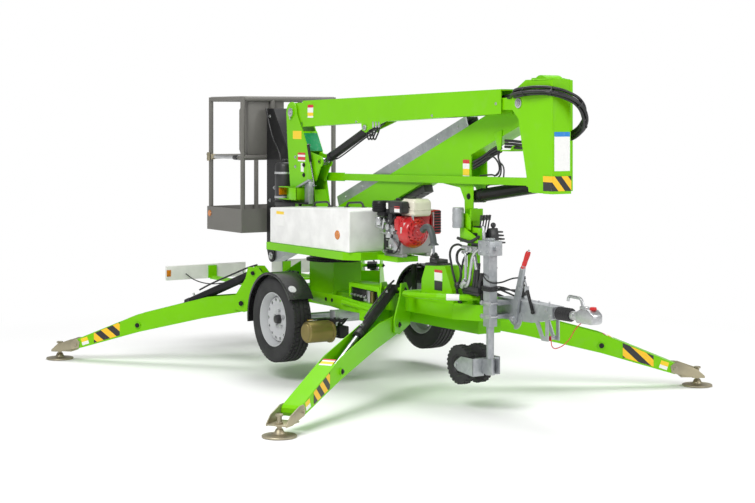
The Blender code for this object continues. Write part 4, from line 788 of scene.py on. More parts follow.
@dataclass
class RoadWheel:
    """A road wheel: a treaded tyre, a silver rim with round windows, and its hub."""

    side: int
    axle_z: float = 0.413
    track: float = 0.605
    tyre_r: float = 0.293
    rim_r: float = 0.183
    windows: int = 14
    blocks: int = 54

    def centre(self) -> Vector:
        """The wheel's middle."""
        return Vector((0, self.side * self.track, self.axle_z))

    def tyre(self) -> Shape:
        """The tyre's carcass with its grooves and tread blocks."""
        bead, crown = self.rim_r + 0.0004, self.tyre_r - 0.0065
        right = [(bead, -0.0645), (0.19, -0.0735), (0.197, -0.078), (0.2055, -0.08), (0.2065, -0.0812),
                 (0.2105, -0.0812), (0.2115, -0.0806), (0.232, -0.0825), (0.25, -0.0822), (0.262, -0.08),
                 (0.272, -0.0755), (0.279, -0.07), (0.2835, -0.064), (crown, -0.056)]
        axis = (0, self.side, 0)
        shape = Shape().turned(both_ways(right), self.centre(), axis, 96)
        top = self.tyre_r
        pitch = math.tau * top / self.blocks
        rows = ((-0.0575, 0.015, 0.74, 0.0, 0.0), (0.0575, 0.015, 0.74, 3.3, 0.0),
                (-0.0305, 0.0175, 0.8, 1.6, 0.35), (0.0305, 0.0175, 0.8, 5.0, -0.35),
                (0.0, 0.0155, 0.97, 0.0, 0.25))
        for height, width, fill, phase, lean in rows:
            long = pitch * fill / 2
            skew = width * lean

            def lug(one: Shape, height: float = height, width: float = width, long: float = long,
                    skew: float = skew) -> None:
                outline = [(-long - skew / 2, height - width / 2), (long - skew / 2, height - width / 2),
                           (long + skew / 2, height + width / 2), (-long + skew / 2, height + width / 2)]
                one.plate(outline, 0.0, top - crown + 0.003 - abs(height) * 0.03, across(crown - 0.003))

            shape.around(lug, self.blocks, self.centre(), axis, phase)
        return shape

    def rim(self) -> Shape:
        """The pressed rim: flanges, well, dished disc and its windows."""
        r = self.rim_r
        profile = [(r, 0.07), (r + 0.002, 0.069), (r, 0.0665), (r - 0.002, 0.058), (r - 0.012, 0.046),
                   (r - 0.02, 0.03), (r - 0.02, -0.03), (r - 0.012, -0.046), (r - 0.002, -0.058),
                   (r, -0.0665), (r - 0.005, -0.0665), (r - 0.024, -0.036), (r - 0.025, 0.004),
                   (0.15, 0.02), (0.128, 0.024), (0.112, 0.021), (0.096, 0.011), (0.074, 0.008),
                   (0.05, 0.012), (0.0212, 0.012), (0.0212, 0.018), (0.05, 0.018), (0.073, 0.014),
                   (0.094, 0.017), (0.108, 0.027), (0.126, 0.031), (0.148, 0.028), (r - 0.025, 0.014),
                   (r - 0.022, 0.038), (r - 0.008, 0.062), (r - 0.005, 0.0695)]
        axis = (0, self.side, 0)
        body = Shape().turned(profile, self.centre(), axis, 84)
        holes = Shape()
        centre = self.centre()
        for index in range(self.windows):
            turn = math.tau * index / self.windows
            spot = centre + Vector((math.cos(turn), 0, math.sin(turn))) * 0.132
            holes.rod(spot - Vector((0, 0.06, 0)), spot + Vector((0, 0.06, 0)), 0.0115, 14)
        return cut(body, holes)

    def hub(self) -> Shape:
        """The black cap over the bearing and the five wheel bolts round it."""
        axis = (0, self.side, 0)
        shape = Shape().turned([(0.0, 0.054), (0.016, 0.054), (0.026, 0.05), (0.03, 0.042),
                                (0.0315, 0.014), (0.0, 0.014)], self.centre(), axis, 32)
        shape.with_paint(1)
        for index in range(5):
            turn = math.tau * index / 5 + 0.3
            spot = self.centre() + Vector((math.cos(turn) * 0.056, self.side * 0.0165,
                                           math.sin(turn) * 0.056))
            bolt(shape, spot, axis, 0.0095, 0.013)
        return shape

    def build(self, shop: Workshop) -> None:
        """Place the wheel's pieces."""
        name = hand(self.side)
        body = f"wheel_{name}"
        shop.place(f"tyre_carcass_{name}", self.tyre(), Kind.TYRE, body, [f"tyre_{name}"], 30)
        shop.place(f"wheel_rim_{name}", self.rim(), Kind.RIM, body, [f"rim_{name}"], 30)
        shop.place(f"wheel_hub_{name}", self.hub(), [Kind.PLASTIC, Kind.BRIGHT], body)


@dataclass
class Mudguard:
    """A black moulded mudguard with rolled lips, its stay's bolts and a round reflector."""

    side: int
    outer: float = 0.322
    wall: float = 0.005
    centre_z: float = 0.413
    steps: int = 44

    def build(self, shop: Workshop) -> None:
        """Place the guard's pieces."""
        name = hand(self.side)
        centre, inner = (0.0, self.centre_z), self.outer - self.wall
        near, far = span(self.side, 0.52, 0.7)
        shape = Shape()
        outline = arc(centre, self.outer, 30, 188, self.steps) + arc(centre, inner, 188, 30, self.steps)
        shape.upright(outline, near, far)
        lip = arc(centre, self.outer, 30, 188, self.steps) + arc(centre, inner - 0.012, 188, 30, self.steps)
        for edge, depth in ((0.7, 0.005), (0.52, 0.003)):
            low, high = span(self.side, edge - depth, edge + 0.0015)
            shape.upright(lip, low, high, 0.0018)
        mid = self.centre_z + inner
        inside, outside = span(self.side, 0.486, 0.54)
        shape.with_paint(1)
        shape.block((-0.03, inside, mid - 0.004), (0.03, outside, mid + 0.003), 0.001)
        low, high = span(self.side, 0.486, 0.492)
        shape.block((-0.03, low, 0.4983), (0.03, high, mid), 0.001)
        for x in (-0.018, 0.018):
            bolt(shape, (x, self.side * 0.53, mid + 0.004), UP, 0.006, 0.004)
        shop.place(f"mudguard_shell_{name}", shape, [Kind.GUARD, Kind.BLACK], "chassis",
                   [f"mudguard_{name}"], 32)
        disc = Shape()
        spot = Vector((math.cos(math.radians(44)), 0, math.sin(math.radians(44))))
        at = Vector((0, self.side * 0.655, self.centre_z)) + spot * self.outer
        disc.turned([(0.0, -0.001), (0.028, -0.001), (0.0285, 0.004),
                     (0.026, 0.0065), (0.0, 0.0075)], at, spot, 32)
        shop.place(f"front_reflector_{name}", disc, Kind.CLEAR_LENS, "chassis")


@dataclass
class Outrigger:
    """What a leg carries: hazard tape, warning plates, hoses, pins and a pressed foot."""

    leg: str
    half: float = 0.06
    pad_s: float = 1.452
    pad_r: float = 0.1

    def tapes(self, shop: Workshop) -> None:
        """The striped tape on both sides of the leg and the small plates beside it."""
        plane, body = leg_plane(self.leg), f"leg_{self.leg}"

        def top(s: float) -> float:
            return 0.358 + (s - 0.8) * (0.158 - 0.358) / (1.302 - 0.8)

        def low(s: float) -> float:
            return 0.228 + (s - 0.8) * (0.088 - 0.228) / (1.285 - 0.8)

        for side in (-1, 1):
            shape = Shape()
            start, end = 0.935, 1.15
            inset = 0.01
            corner = [(start + inset, low(start) + inset), (end, low(end) + inset),
                      (end, top(end) - inset), (start + inset, top(start) - inset)]
            shape.upright(corner, side * (self.half - 0.0005), side * (self.half + PROUD))
            shape.move(plane)
            which = f"{self.leg}_{'near' if side < 0 else 'far'}"
            shop.place(f"leg_tape_{which}", shape, Kind.HAZARD, body)
            spot = 1.185 if side < 0 else 1.24
            corner = plane @ Vector((spot, side * (self.half + 0.0002), low(spot) + 0.014))
            right = plane.to_3x3() @ Vector((1, 0, -0.33)) * -side
            up = plane.to_3x3() @ Vector((0.33, 0, 1))
            label(shop, f"leg_plate_{which}", body, corner, right, up, 0.055, 0.052, "WY", (0.45, 0.55))
        sideways, back = (plane.to_3x3() @ Vector(way) for way in (LEFT, (-1, 0, 0.398)))
        label(shop, f"leg_top_plate_{self.leg}", body,
              plane @ Vector((0.89, -0.042, top(0.89) + 0.0003)), sideways, back, 0.084, 0.072,
              "WYWR", (0.2, 0.4, 0.2, 0.2))

    def fasteners(self, shop: Workshop) -> None:
        """Pins' keepers on the bracket and the leg."""
        plane = leg_plane(self.leg)
        shape = Shape()
        for s, z, r in ((0.0, 0.463, 0.012), (-0.088, 0.681, 0.01)):
            for side in (-1, 1):
                face = side * 0.081
                shape.rod((s, face, z), (s, face + side * 0.006, z), r * 1.45, 24, 0.001)
                bolt(shape, (s, face + side * 0.006, z), (0, side, 0), r * 0.62, 0.006)
        shape.move(plane)
        shop.place(f"root_pins_{self.leg}", shape, Kind.BLACK, "chassis")
        shape = Shape()
        for side in (-1, 1):
            bolt(shape, (0.803, side * 0.072, 0.278), (0, side, 0), 0.011, 0.008)
        shape.move(plane)
        shop.place(f"ram_pins_{self.leg}", shape, Kind.BLACK, f"leg_{self.leg}")

    def foot(self, shop: Workshop) -> None:
        """The swivelling foot: side cheeks, tread plate, ball and the spun pad with its rings."""
        shape = Shape()
        inner = self.half + 0.0003
        outline = [(1.262, 0.14), (1.27, 0.095), (1.33, 0.082), (1.415, 0.062), (1.49, 0.062),
                   (1.49, 0.075), (1.44, 0.12), (1.33, 0.158), (1.285, 0.16)]
        for side in (-1, 1):
            near, far = span(side, inner, inner + 0.006)
            shape.upright(outline, near, far, 0.0012)
            bolt(shape, (1.293, side * (inner + 0.006), 0.121), (0, side, 0), 0.012, 0.009)
        shape.block((1.33, -inner - 0.003, 0.066), (1.49, inner + 0.003, 0.074), 0.001)
        shape.rod((self.pad_s, 0, 0.03), (self.pad_s, 0, 0.128), 0.014, 24)
        for z in (0.06, 0.074, 0.118):
            shape.rod((self.pad_s, 0, z), (self.pad_s, 0, z + 0.012), 0.024, 6, 0.001)
        shape.turned([(0.0, 0.014), (0.034, 0.014), (0.034, 0.02), (0.028, 0.03), (0.02, 0.046),
                      (0.0, 0.048)], (self.pad_s, 0, 0), UP, 32)
        r = self.pad_r
        shape.turned([(0.0, 0.0), (r - 0.006, 0.0), (r - 0.001, 0.003), (r, 0.008), (r - 0.003, 0.012),
                      (r - 0.012, 0.0135), (r - 0.022, 0.012), (r - 0.03, 0.0125), (r - 0.05, 0.016),
                      (0.038, 0.02), (0.0, 0.021)], (self.pad_s, 0, 0), UP, 64)
        shape.move(leg_plane(self.leg))
        shop.place(f"foot_pad_{self.leg}", shape, Kind.ZINC, f"leg_{self.leg}", [f"foot_{self.leg}"], 34)

    def ram(self, shop: Workshop) -> None:
        """The cylinder's gland, ports and the hose along it."""
        plane = leg_plane(self.leg)
        start, end = Vector((-0.088, 0, 0.681)), Vector((0.803, 0, 0.278))
        along = (end - start).normalized()
        up = Vector((-along.z, 0, along.x))
        mouth = start + along * ((end - start).length * 0.6)
        shape = Shape()
        shape.rod(mouth - along * 0.036, mouth + along * 0.002, 0.0335, 28, 0.002)
        shape.with_paint(1)
        for share in (0.1, 0.52):
            base = start + along * ((end - start).length * share) + up * 0.03
            shape.rod(base, base + up * 0.02, 0.009, 6)
        shape.with_paint(0)
        top = start + along * 0.075 + up * 0.052
        tail = start + along * 0.455 + up * 0.052
        shape.hose([tail, tail - along * 0.1 + up * 0.006,
                    top + along * 0.08 + up * 0.004, top - along * 0.03 + up * 0.002,
                    start + up * 0.058 + Vector((-0.03, 0.0, 0.0))], 0.0062)
        shape.move(plane)
        shop.place(f"ram_fittings_{self.leg}", shape, [Kind.HOSE, Kind.BRIGHT], f"leg_ram_{self.leg}")

    def build(self, shop: Workshop) -> None:
        """Place all of it."""
        self.tapes(shop)
        self.fasteners(shop)
        self.foot(shop)
        self.ram(shop)


@dataclass
class TowGear:
    """The drawbar's fittings, overrun bellows, coupling, handbrake and jockey wheel."""

    bellows_x: float = 2.2323
    shaft_z: float = 0.64
    ribs: int = 6

    def bellows(self) -> Shape:
        """The ribbed rubber boot."""
        length = 0.126
        pitch = length / self.ribs
        outline = [(0.0, 0.0), (0.034, 0.0), (0.034, 0.006)]
        for index in range(self.ribs):
            x = pitch * index
            outline += [(0.029, x + pitch * 0.12), (0.0385, x + pitch * 0.4), (0.04, x + pitch * 0.5),
                        (0.0385, x + pitch * 0.6), (0.029, x + pitch * 0.9)]
        outline += [(0.032, length - 0.004), (0.032, length), (0.0, length)]
        return Shape().turned(outline, (self.bellows_x, 0, self.shaft_z), AHEAD, 48)

    def coupling(self) -> Shape:
        """The zinc-plated ball head with its handle, bolts and safety catch."""
        start = self.bellows_x + 0.1263
        shape = Shape().rod((start, 0, self.shaft_z), (2.47, 0, self.shaft_z), 0.026, 32)
        nose = [(2.43, 0.612), (2.43, 0.668), (2.47, 0.69), (2.548, 0.69), (2.58, 0.668),
                (2.585, 0.655), (2.585, 0.618), (2.572, 0.606), (2.44, 0.606)]
        body = Shape().upright(nose, -0.038, 0.038, 0.009, 3)
        cup = Shape().ball((2.52, 0, 0.603), 0.028, steps=24)
        shape.add(cut(body, cup).mesh)
        shape.tube([(2.462, 0, 0.68), (2.44, 0, 0.745), (2.33, 0, 0.749), (2.322, 0, 0.72)], 0.0095, 0.022)
        shape.block((2.44, -0.014, 0.684), (2.5, 0.014, 0.702), 0.004)
        for x in (2.395, 2.43):
            bolt(shape, (x, -0.026, self.shaft_z + 0.006), RIGHT, 0.01, 0.008)
            bolt(shape, (x, 0.026, self.shaft_z + 0.006), LEFT, 0.01, 0.008)
        return shape

    def drawbar_fittings(self, shop: Workshop) -> None:
        """Bolts, grease points and ribs of the overrun housing."""
        shape = Shape()
        for side in (-1, 1):
            for x, z in ((1.74, 0.585), (1.74, 0.665), (1.83, 0.59), (2.17, 0.655), (2.21, 0.62)):
                bolt(shape, (x, side * 0.045, z), (0, side, 0), 0.0085, 0.006)
        shape.turned([(0.026, -0.004), (0.034, -0.004), (0.0345, 0.01), (0.026, 0.014)],
                     (2.226, 0, self.shaft_z), AHEAD, 32)
        for x in (2.05, 2.15):
            shape.rod((x, 0, 0.68), (x, 0, 0.694), 0.005, 12)
            shape.ball((x, 0, 0.694), 0.0055)
        shop.place("drawbar_bolts", shape, Kind.BRIGHT, "chassis")
        cable = Shape()
        cable.hose([(2.175, -0.01, 0.484), (2.215, -0.03, 0.44), (2.29, -0.04, 0.448),
                    (2.37, -0.036, 0.5), (2.43, -0.03, 0.575), (2.462, -0.02, 0.606)], 0.0028)
        cable.rod((2.168, -0.01, 0.47), (2.168, -0.01, 0.498), 0.007, 14)
        shop.place("breakaway_cable", cable, Kind.GRIP, "chassis")
        cap = Shape().turned([(0.0, 0.0), (0.02, 0.0), (0.021, 0.006), (0.018, 0.016), (0.0, 0.018)],
                             (2.545, 0, 0.6885), UP, 28)
        shop.place("coupling_catch_cap", cap, Kind.GRIP, "chassis")

    def plug(self, shop: Workshop) -> None:
        """The thirteen-pin plug parked in its holder."""
        shape = Shape()
        spot = Vector((1.835, 0.052, 0.728))
        shape.turned([(0.0, 0.03), (0.024, 0.03), (0.026, 0.012), (0.026, -0.01), (0.021, -0.016),
                      (0.019, -0.045), (0.01, -0.058), (0.0, -0.058)], spot, (0.35, 0.1, -1), 28)
        shop.place("lighting_plug", shape, Kind.PLASTIC, "chassis")

    def handbrake(self, shop: Workshop) -> None:
        """The lever's red grip, ratchet and gas strut."""
        grip = Shape()
        base, tip = Vector((1.969, -0.059, 0.88)), Vector((2.024, -0.059, 0.986))
        along = (tip - base).normalized()
        grip.turned([(0.0, 0.0), (0.0125, 0.0), (0.015, 0.006), (0.0135, 0.018), (0.015, 0.036),
                     (0.014, 0.056), (0.0155, 0.078), (0.0165, 0.1), (0.014, 0.116), (0.0, 0.1195)],
                    base + along * 0.004, along, 28)
        grip.with_paint(1).rod(tip + along * 0.003, tip + along * 0.014, 0.006, 16)
        shop.place("handbrake_grip", grip, [Kind.GRIP, Kind.BRIGHT], "handbrake")
        parts = Shape()
        parts.rod((1.88, -0.074, 0.575), (1.88, -0.08, 0.575), 0.017, 24)
        bolt(parts, (1.88, -0.08, 0.575), RIGHT, 0.01, 0.007)
        bolt(parts, (1.945, -0.068, 0.76), RIGHT, 0.007, 0.005)
        shop.place("handbrake_pivot", parts, Kind.BRIGHT, "handbrake")
        sector = Shape()
        teeth = arc((1.88, 0.575), 0.062, -100, 40, 26)
        rim = [(1.88 + (a - 1.88) * (1.0 if i % 2 else 1.07), 0.575 + (b - 0.575) * (1.0 if i % 2 else 1.07))
               for i, (a, b) in enumerate(teeth)]
        sector.upright(rim + arc((1.88, 0.575), 0.034, 40, -100, 10), -0.0495, -0.0455)
        shop.place("handbrake_sector", sector, Kind.GALVANISED, "chassis")
        low, high = Vector((2.06, -0.056, 0.63)), Vector((1.96, -0.04, 0.83))
        strut = gas_strut(low, high, 0.62, 0.0095, 0.0045)
        strut.with_paint(0).rod(high - (high - low).normalized() * 0.012,
                                high + Vector((0, 0, 0.006)), 0.007, 12)
        strut.ball(low, 0.012)
        shop.place("handbrake_strut", strut, [Kind.BLACK, Kind.CHROME], "handbrake")

    def jockey(self, shop: Workshop) -> None:
        """The mast's collar, crank and clamp bolts, and the wheels' rims."""
        x, y = 1.782, -0.162
        head = Shape()
        head.block((x - 0.056, y - 0.051, 0.953), (x + 0.056, y + 0.051, 1.044), 0.008, 3)
        head.rod((x, y, 1.042), (x, y, 1.058), 0.03, 32, 0.003)
        head.rod((x + 0.05, y, 1.0), (x + 0.078, y, 1.0), 0.016, 20)
        for side in (-1, 1):
            for z in (0.972, 1.024):
                bolt(head, (x + side * 0.036, y - 0.051, z), RIGHT, 0.0075, 0.005)
        shop.place("jockey_head", head, Kind.GALVANISED, "chassis")
        bolts = Shape()
        for z in (0.585, 0.665):
            for side in (-1, 1):
                bolts.rod((x + side * 0.038, y + 0.03, z), (x + side * 0.038, y - 0.04, z), 0.006, 12)
                bolt(bolts, (x + side * 0.038, y - 0.034, z), RIGHT, 0.01, 0.008)
        for low, high in ((0.573, 0.597), (0.653, 0.677)):
            bolts.block((x - 0.048, y - 0.036, low), (x + 0.048, y - 0.0302, high), 0.001)
        shop.place("jockey_clamps", bolts, Kind.BRIGHT, "chassis")
        axle = Vector((1.575, y, 0.2735))
        wheels = Shape()
        for side in (-1, 1):
            centre = axle + Vector((0, side * 0.064, 0))
            half = [(0.058, -0.022), (0.066, -0.03), (0.1, -0.031), (0.113, -0.026), (0.1178, -0.014)]
            wheels.turned(both_ways(half), centre, (0, side, 0), 56)

            def lug(one: Shape) -> None:
                for hand in (-1, 1):
                    one.block((0.112, hand * 0.012 - 0.0105, hand * 0.014 - 0.012),
                              (0.1198, hand * 0.012 + 0.004, hand * 0.014 + 0.012))

            wheels.around(lug, 26, centre, (0, side, 0), 9.0 * (side > 0))
        wheels.with_paint(1)
        for side in (-1, 1):
            centre = axle + Vector((0, side * 0.064, 0))
            wheels.turned([(0.0, 0.024), (0.014, 0.024), (0.018, 0.018), (0.05, 0.012), (0.056, 0.022),
                           (0.0595, 0.022), (0.0595, -0.022), (0.0, -0.022)], centre, (0, side, 0), 40)
        wheels.with_paint(2)
        wheels.rod(axle - Vector((0, 0.098, 0)), axle + Vector((0, 0.098, 0)), 0.009, 18)
        for side in (-1, 1):
            bolt(wheels, axle + Vector((0, side * 0.094, 0)), (0, side, 0), 0.011, 0.007)
        fork = Shape()
        side_plate = [(1.552, 0.262), (1.56, 0.292), (1.622, 0.33),
                      (1.744, 0.33), (1.744, 0.222), (1.59, 0.24)]
        for side in (-1, 1):
            near, far = sorted((y + side * 0.099, y + side * 0.104))
            fork.upright(side_plate, near, far, 0.001)
            low, high = sorted((y + side * 0.018, y + side * 0.104))
            fork.block((1.738, low, 0.222), (1.744, high, 0.33), 0.001)
            bolt(fork, axle + Vector((0, side * 0.104, 0)), (0, side, 0), 0.012, 0.008)
        shop.place("fork_plates", fork, Kind.GALVANISED, "jockey_fork")
        shop.place("jockey_tyres", wheels, [Kind.TYRE, Kind.PLASTIC, Kind.BRIGHT], "jockey_wheels",
                   ["jockey_wheels"], 32)

    def build(self, shop: Workshop) -> None:
        """Place the tow gear."""
        shop.place("bellows_boot", self.bellows(), Kind.HOSE, "chassis", ["overrun_bellows"], 40)
        shop.place("ball_coupling", self.coupling(), Kind.BRIGHT, "chassis", ["coupling_head"], 34)
        self.drawbar_fittings(shop)
        self.plug(shop)
        self.handbrake(shop)
        self.jockey(shop)


@dataclass
class Engine:
    """The petrol engine ahead of the covers, with its recoil, tank, air cleaner and fittings."""

    y: float = -0.183
    recoil_x: float = 0.952
    recoil_z: float = 1.048
    recoil_r: float = 0.102

    def crankcase(self) -> Shape:
        """The cast block, finned cylinder and feet."""
        shape = Shape()
        shape.block((0.76, -0.26, 0.9), (0.958, -0.02, 1.085), 0.012, 3)
        shape.block((0.74, -0.25, 0.8843), (0.96, -0.215, 0.905), 0.003)
        shape.block((0.74, -0.065, 0.8843), (0.96, -0.03, 0.905), 0.003)
        for index in range(9):
            z = 1.005 + index * 0.0175
            shape.block((0.716, -0.226, z), (0.862, -0.054, z + 0.005), 0.002)
        shape.block((0.735, -0.205, 1.0), (0.85, -0.075, 1.168), 0.004)
        shape.rod((0.7, -0.14, 1.09), (0.735, -0.14, 1.09), 0.045, 24, 0.003)
        for y in (-0.18, -0.1):
            for z in (1.055, 1.125):
                bolt(shape, (0.702, y, z), BACK, 0.008, 0.006)
        for z in (0.93, 0.985, 1.04):
            shape.block((0.78, -0.264, z), (0.94, -0.258, z + 0.01), 0.002)
        for x in (0.79, 0.925):
            for z in (0.92, 1.065):
                bolt(shape, (x, -0.26, z), RIGHT, 0.007, 0.006)
        return shape

    def recoil(self) -> Shape:
        """The spun housing with its rings of curved slots."""
        r, centre = self.recoil_r, (self.recoil_x, self.y, self.recoil_z)
        profile = [(0.0, 0.0), (r, 0.0), (r, 0.044), (r - 0.004, 0.052), (0.092, 0.066), (0.087, 0.078),
                   (0.08, 0.084), (0.062, 0.088), (0.056, 0.094), (0.042, 0.096), (0.038, 0.088),
                   (0.018, 0.088), (0.014, 0.094), (0.0, 0.094)]
        body = Shape().turned(profile, centre, AHEAD, 72)
        slots = Shape()

        def slot(one: Shape, radius: float, long: float, wide: float, lean: float) -> None:
            outline = [(-wide / 2, -long / 2), (wide / 2, -long / 2), (wide / 2, long / 2),
                       (-wide / 2, long / 2)]
            plane = Matrix.Translation((radius, 0, 0)) @ Matrix.Rotation(math.radians(lean), 4, "Z")
            one.plate(outline, 0.06, 0.11, plane)

        for radius, count, long, wide, lean in ((0.049, 11, 0.013, 0.0046, 30),
                                                (0.0725, 16, 0.019, 0.0054, 28)):
            size = (radius, long, wide, lean)
            slots.around(lambda one, size=size: slot(one, *size), count, centre, AHEAD)
        return cut(body, slots)

    def tank(self) -> Shape:
        """The moulded tank with its seam."""
        shape = Shape().block((0.886, -0.222, 1.15), (1.042, -0.075, 1.256), 0.022, 4)
        shape.block((0.882, -0.226, 1.19), (1.046, -0.071, 1.196), 0.0025)
        shape.block((0.9, -0.208, 1.25), (1.028, -0.09, 1.262), 0.01, 3)
        return shape

    def build(self, shop: Workshop) -> None:
        """Place the engine's pieces."""
        shop.place("crankcase", self.crankcase(), Kind.CAST, "turntable", ["engine"])
        shop.place("recoil_housing", self.recoil(), Kind.RED, "turntable", ["engine_shroud"], 34)
        back = Shape().rod((self.recoil_x - 0.002, self.y, self.recoil_z),
                           (self.recoil_x + 0.058, self.y, self.recoil_z), 0.088, 40)
        back.block((0.93, self.y - 0.08, 0.96), (0.95, self.y + 0.12, 1.152), 0.006)
        shop.place("fan_shadow", back, Kind.PLASTIC, "turntable")
        cowl = Shape().block((0.905, self.y - 0.09, 1.07), (0.96, self.y + 0.15, 1.152), 0.014, 3)
        cowl.block((0.905, self.y - 0.1, 1.06), (0.956, self.y - 0.08, 1.135), 0.008)
        cowl.plate([(-0.105, -0.01), (0.01, -0.105), (0.075, -0.095), (0.105, 0.02), (0.15, 0.1),
                    (-0.06, 0.1)], 0.0, 0.04, across(self.recoil_x - 0.02, self.y, self.recoil_z), 0.008)
        shop.place("red_cowl", cowl, Kind.RED, "turntable")
        shop.place("petrol_tank", self.tank(), Kind.CREAM, "turntable", ["fuel_tank"])
        cap = Shape().rod((0.93, -0.16, 1.26), (0.93, -0.16, 1.272), 0.0275, 28, 0.004)
        cap.around(lambda one: one.block((0.0265, -0.0022, -0.005), (0.03, 0.0022, 0.005), 0.0008), 20,
                   (0.93, -0.16, 1.266), UP)
        shop.place("tank_cap", cap, Kind.PLASTIC, "turntable")
        stand = Shape()
        for x in (0.896, 1.012):
            for y in (-0.216, -0.06):
                stand.block((x, y, 1.083), (x + 0.02, y + 0.004, 1.175), 0.0008)
                bolt(stand, (x + 0.01, y - 0.001 if y < -0.1 else y + 0.004, 1.15),
                     (0, -1 if y < -0.1 else 1, 0), 0.006, 0.004)
        shop.place("tank_stand", stand, Kind.BRIGHT, "turntable")
        self.cleaner(shop)
        self.details(shop)

    def cleaner(self, shop: Workshop) -> None:
        """The ribbed air cleaner and its round silencer."""
        shape = Shape().block((0.775, -0.262, 1.152), (0.88, -0.128, 1.246), 0.012, 3)
        shape.block((0.77, -0.267, 1.2), (0.885, -0.123, 1.208), 0.003)
        shape.block((0.862, -0.292, 1.168), (1.0, -0.226, 1.248), 0.012, 3)
        shape.block((0.858, -0.296, 1.205), (1.004, -0.222, 1.211), 0.002)
        for index in range(4):
            x = 0.786 + index * 0.022
            shape.block((x, -0.266, 1.162), (x + 0.006, -0.26, 1.198), 0.0015)
        shape.rod((0.824, -0.195, 1.244), (0.824, -0.195, 1.262), 0.016, 16, 0.003)
        shape.block((0.818, -0.275, 1.075), (0.866, -0.2, 1.164), 0.01)
        shape.rod((0.76, -0.25, 1.12), (0.83, -0.262, 1.1), 0.017, 14)
        shop.place("air_cleaner", shape, Kind.PLASTIC, "turntable")
        shape = Shape().turned([(0.0, 0.0), (0.052, 0.0), (0.058, 0.006), (0.058, 0.066), (0.052, 0.074),
                                (0.0, 0.076)], (0.705, -0.252, 1.168), UP, 36)
        for index in range(4):
            z = 1.18 + index * 0.013
            shape.ring(0.054, 0.0615, 0.0, 0.005, (0.705, -0.252, z), UP, 36)
        shape.block((0.7, -0.285, 1.14), (0.792, -0.19, 1.172), 0.01)
        shape.rod((0.74, -0.185, 1.12), (0.74, -0.185, 1.16), 0.02, 16)
        shop.place("exhaust_box", shape, Kind.BLACK, "turntable")
        for name, *rest in (
                ("cleaner_label", (0.836, -0.2963, 1.196), AHEAD, UP, 0.022, 0.038, "W"),
                ("cleaner_strip", (0.925, -0.2923, 1.178), AHEAD, UP, 0.062, 0.038, "WR", (0.6, 0.4)),
                ("recoil_strip", (1.0025, -0.272, 1.036), LEFT, UP, 0.016, 0.076, "W"),
                ("recoil_mark", (0.9965, -0.293, 1.044), LEFT, UP, 0.012, 0.04, "W")):
            label(shop, name, "turntable", *rest)

    def details(self, shop: Workshop) -> None:
        """Carburettor, throttle links, oil filler, start cord's handle, wires and the exhaust guard."""
        shape = Shape()
        shape.block((0.795, -0.262, 1.04), (0.86, -0.215, 1.09), 0.006)
        shape.rod((0.822, -0.285, 1.075), (0.822, -0.235, 1.075), 0.022, 20, 0.003)
        shape.rod((0.822, -0.262, 1.005), (0.822, -0.262, 1.045), 0.026, 20, 0.004)
        shape.rod((0.7, -0.262, 1.08), (0.7, -0.262, 1.135), 0.028, 20, 0.006)
        shape.rod((0.66, -0.262, 1.072), (0.77, -0.272, 1.066), 0.01, 12)
        shape.rod((0.76, -0.276, 1.062), (0.784, -0.278, 1.128), 0.0075, 12)
        shape.rod((0.74, -0.28, 1.04), (0.83, -0.286, 1.03), 0.006, 10)
        shape.block((0.868, -0.282, 1.03), (0.888, -0.262, 1.052), 0.004)
        shape.block((0.89, -0.284, 1.052), (0.912, -0.266, 1.074), 0.004)
        for x, z in ((0.79, 1.11), (0.838, 1.118), (0.868, 1.085), (0.745, 1.105)):
            bolt(shape, (x, -0.268, z), RIGHT, 0.007, 0.01)
        shape.upright([(0.84, 0.93), (0.95, 0.925), (0.936, 0.962), (0.89, 1.0), (0.86, 1.01),
                       (0.836, 0.985)], -0.285, -0.262, 0.008)
        shape.rod((0.88, -0.285, 0.955), (0.88, -0.3, 0.952), 0.016, 20, 0.002)
        shape.rod((0.78, -0.268, 0.915), (0.78, -0.282, 0.915), 0.011, 6)
        shop.place("carburettor", shape, Kind.BRIGHT, "turntable")
        dark = Shape().block((0.748, -0.262, 0.905), (0.86, -0.15, 1.03), 0.006)
        dark.block((0.775, -0.258, 1.085), (0.91, -0.14, 1.15), 0.008)
        shop.place("engine_shadows", dark, Kind.BLACK, "turntable")
        wires = Shape()
        wires.hose([(0.722, -0.14, 1.12), (0.69, -0.17, 1.14), (0.7, -0.23, 1.13),
                    (0.76, -0.27, 1.1), (0.8, -0.272, 1.06)], 0.0038)
        wires.hose([(0.9, -0.262, 1.15), (0.89, -0.285, 1.12), (0.85, -0.28, 1.09)], 0.0042)
        wires.hose([(0.94, -0.262, 1.0), (0.96, -0.28, 0.96), (0.93, -0.285, 0.92),
                    (0.86, -0.275, 0.905), (0.79, -0.262, 0.9)], 0.005)
        shop.place("engine_wires", wires, Kind.HOSE, "turntable")
        handle = Shape().block((1.015, -0.236, 1.09), (1.03, -0.214, 1.124), 0.006, 3)
        handle.rod((1.0, -0.225, 1.1), (1.02, -0.225, 1.104), 0.008, 14)
        shop.place("starter_handle", handle, Kind.PLASTIC, "turntable")
        guard = Shape().block((0.87, -0.026, 1.026), (0.965, 0.052, 1.184), 0.012, 3)
        shop.place("exhaust_guard", guard, Kind.RED, "turntable")
        # Painted shade: black strips on the guard's front and side stand in for the shade inside its slots.
        slot_shade = Shape()
        for index in range(8):
            z = 1.038 + index * 0.018
            slot_shade.block((0.9648, -0.006, z), (0.968, 0.046, z + 0.014), 0.0012)
            slot_shade.block((0.884, 0.0518, z), (0.952, 0.055, z + 0.01), 0.0012)
        shop.place("exhaust_slot_shade", slot_shade, Kind.BLACK, "turntable")
        pump = Shape().rod((0.868, -0.01, 0.96), (0.868, 0.034, 0.96), 0.04, 28, 0.003)
        pump.block((0.838, -0.014, 0.9), (0.898, 0.02, 0.96), 0.004)
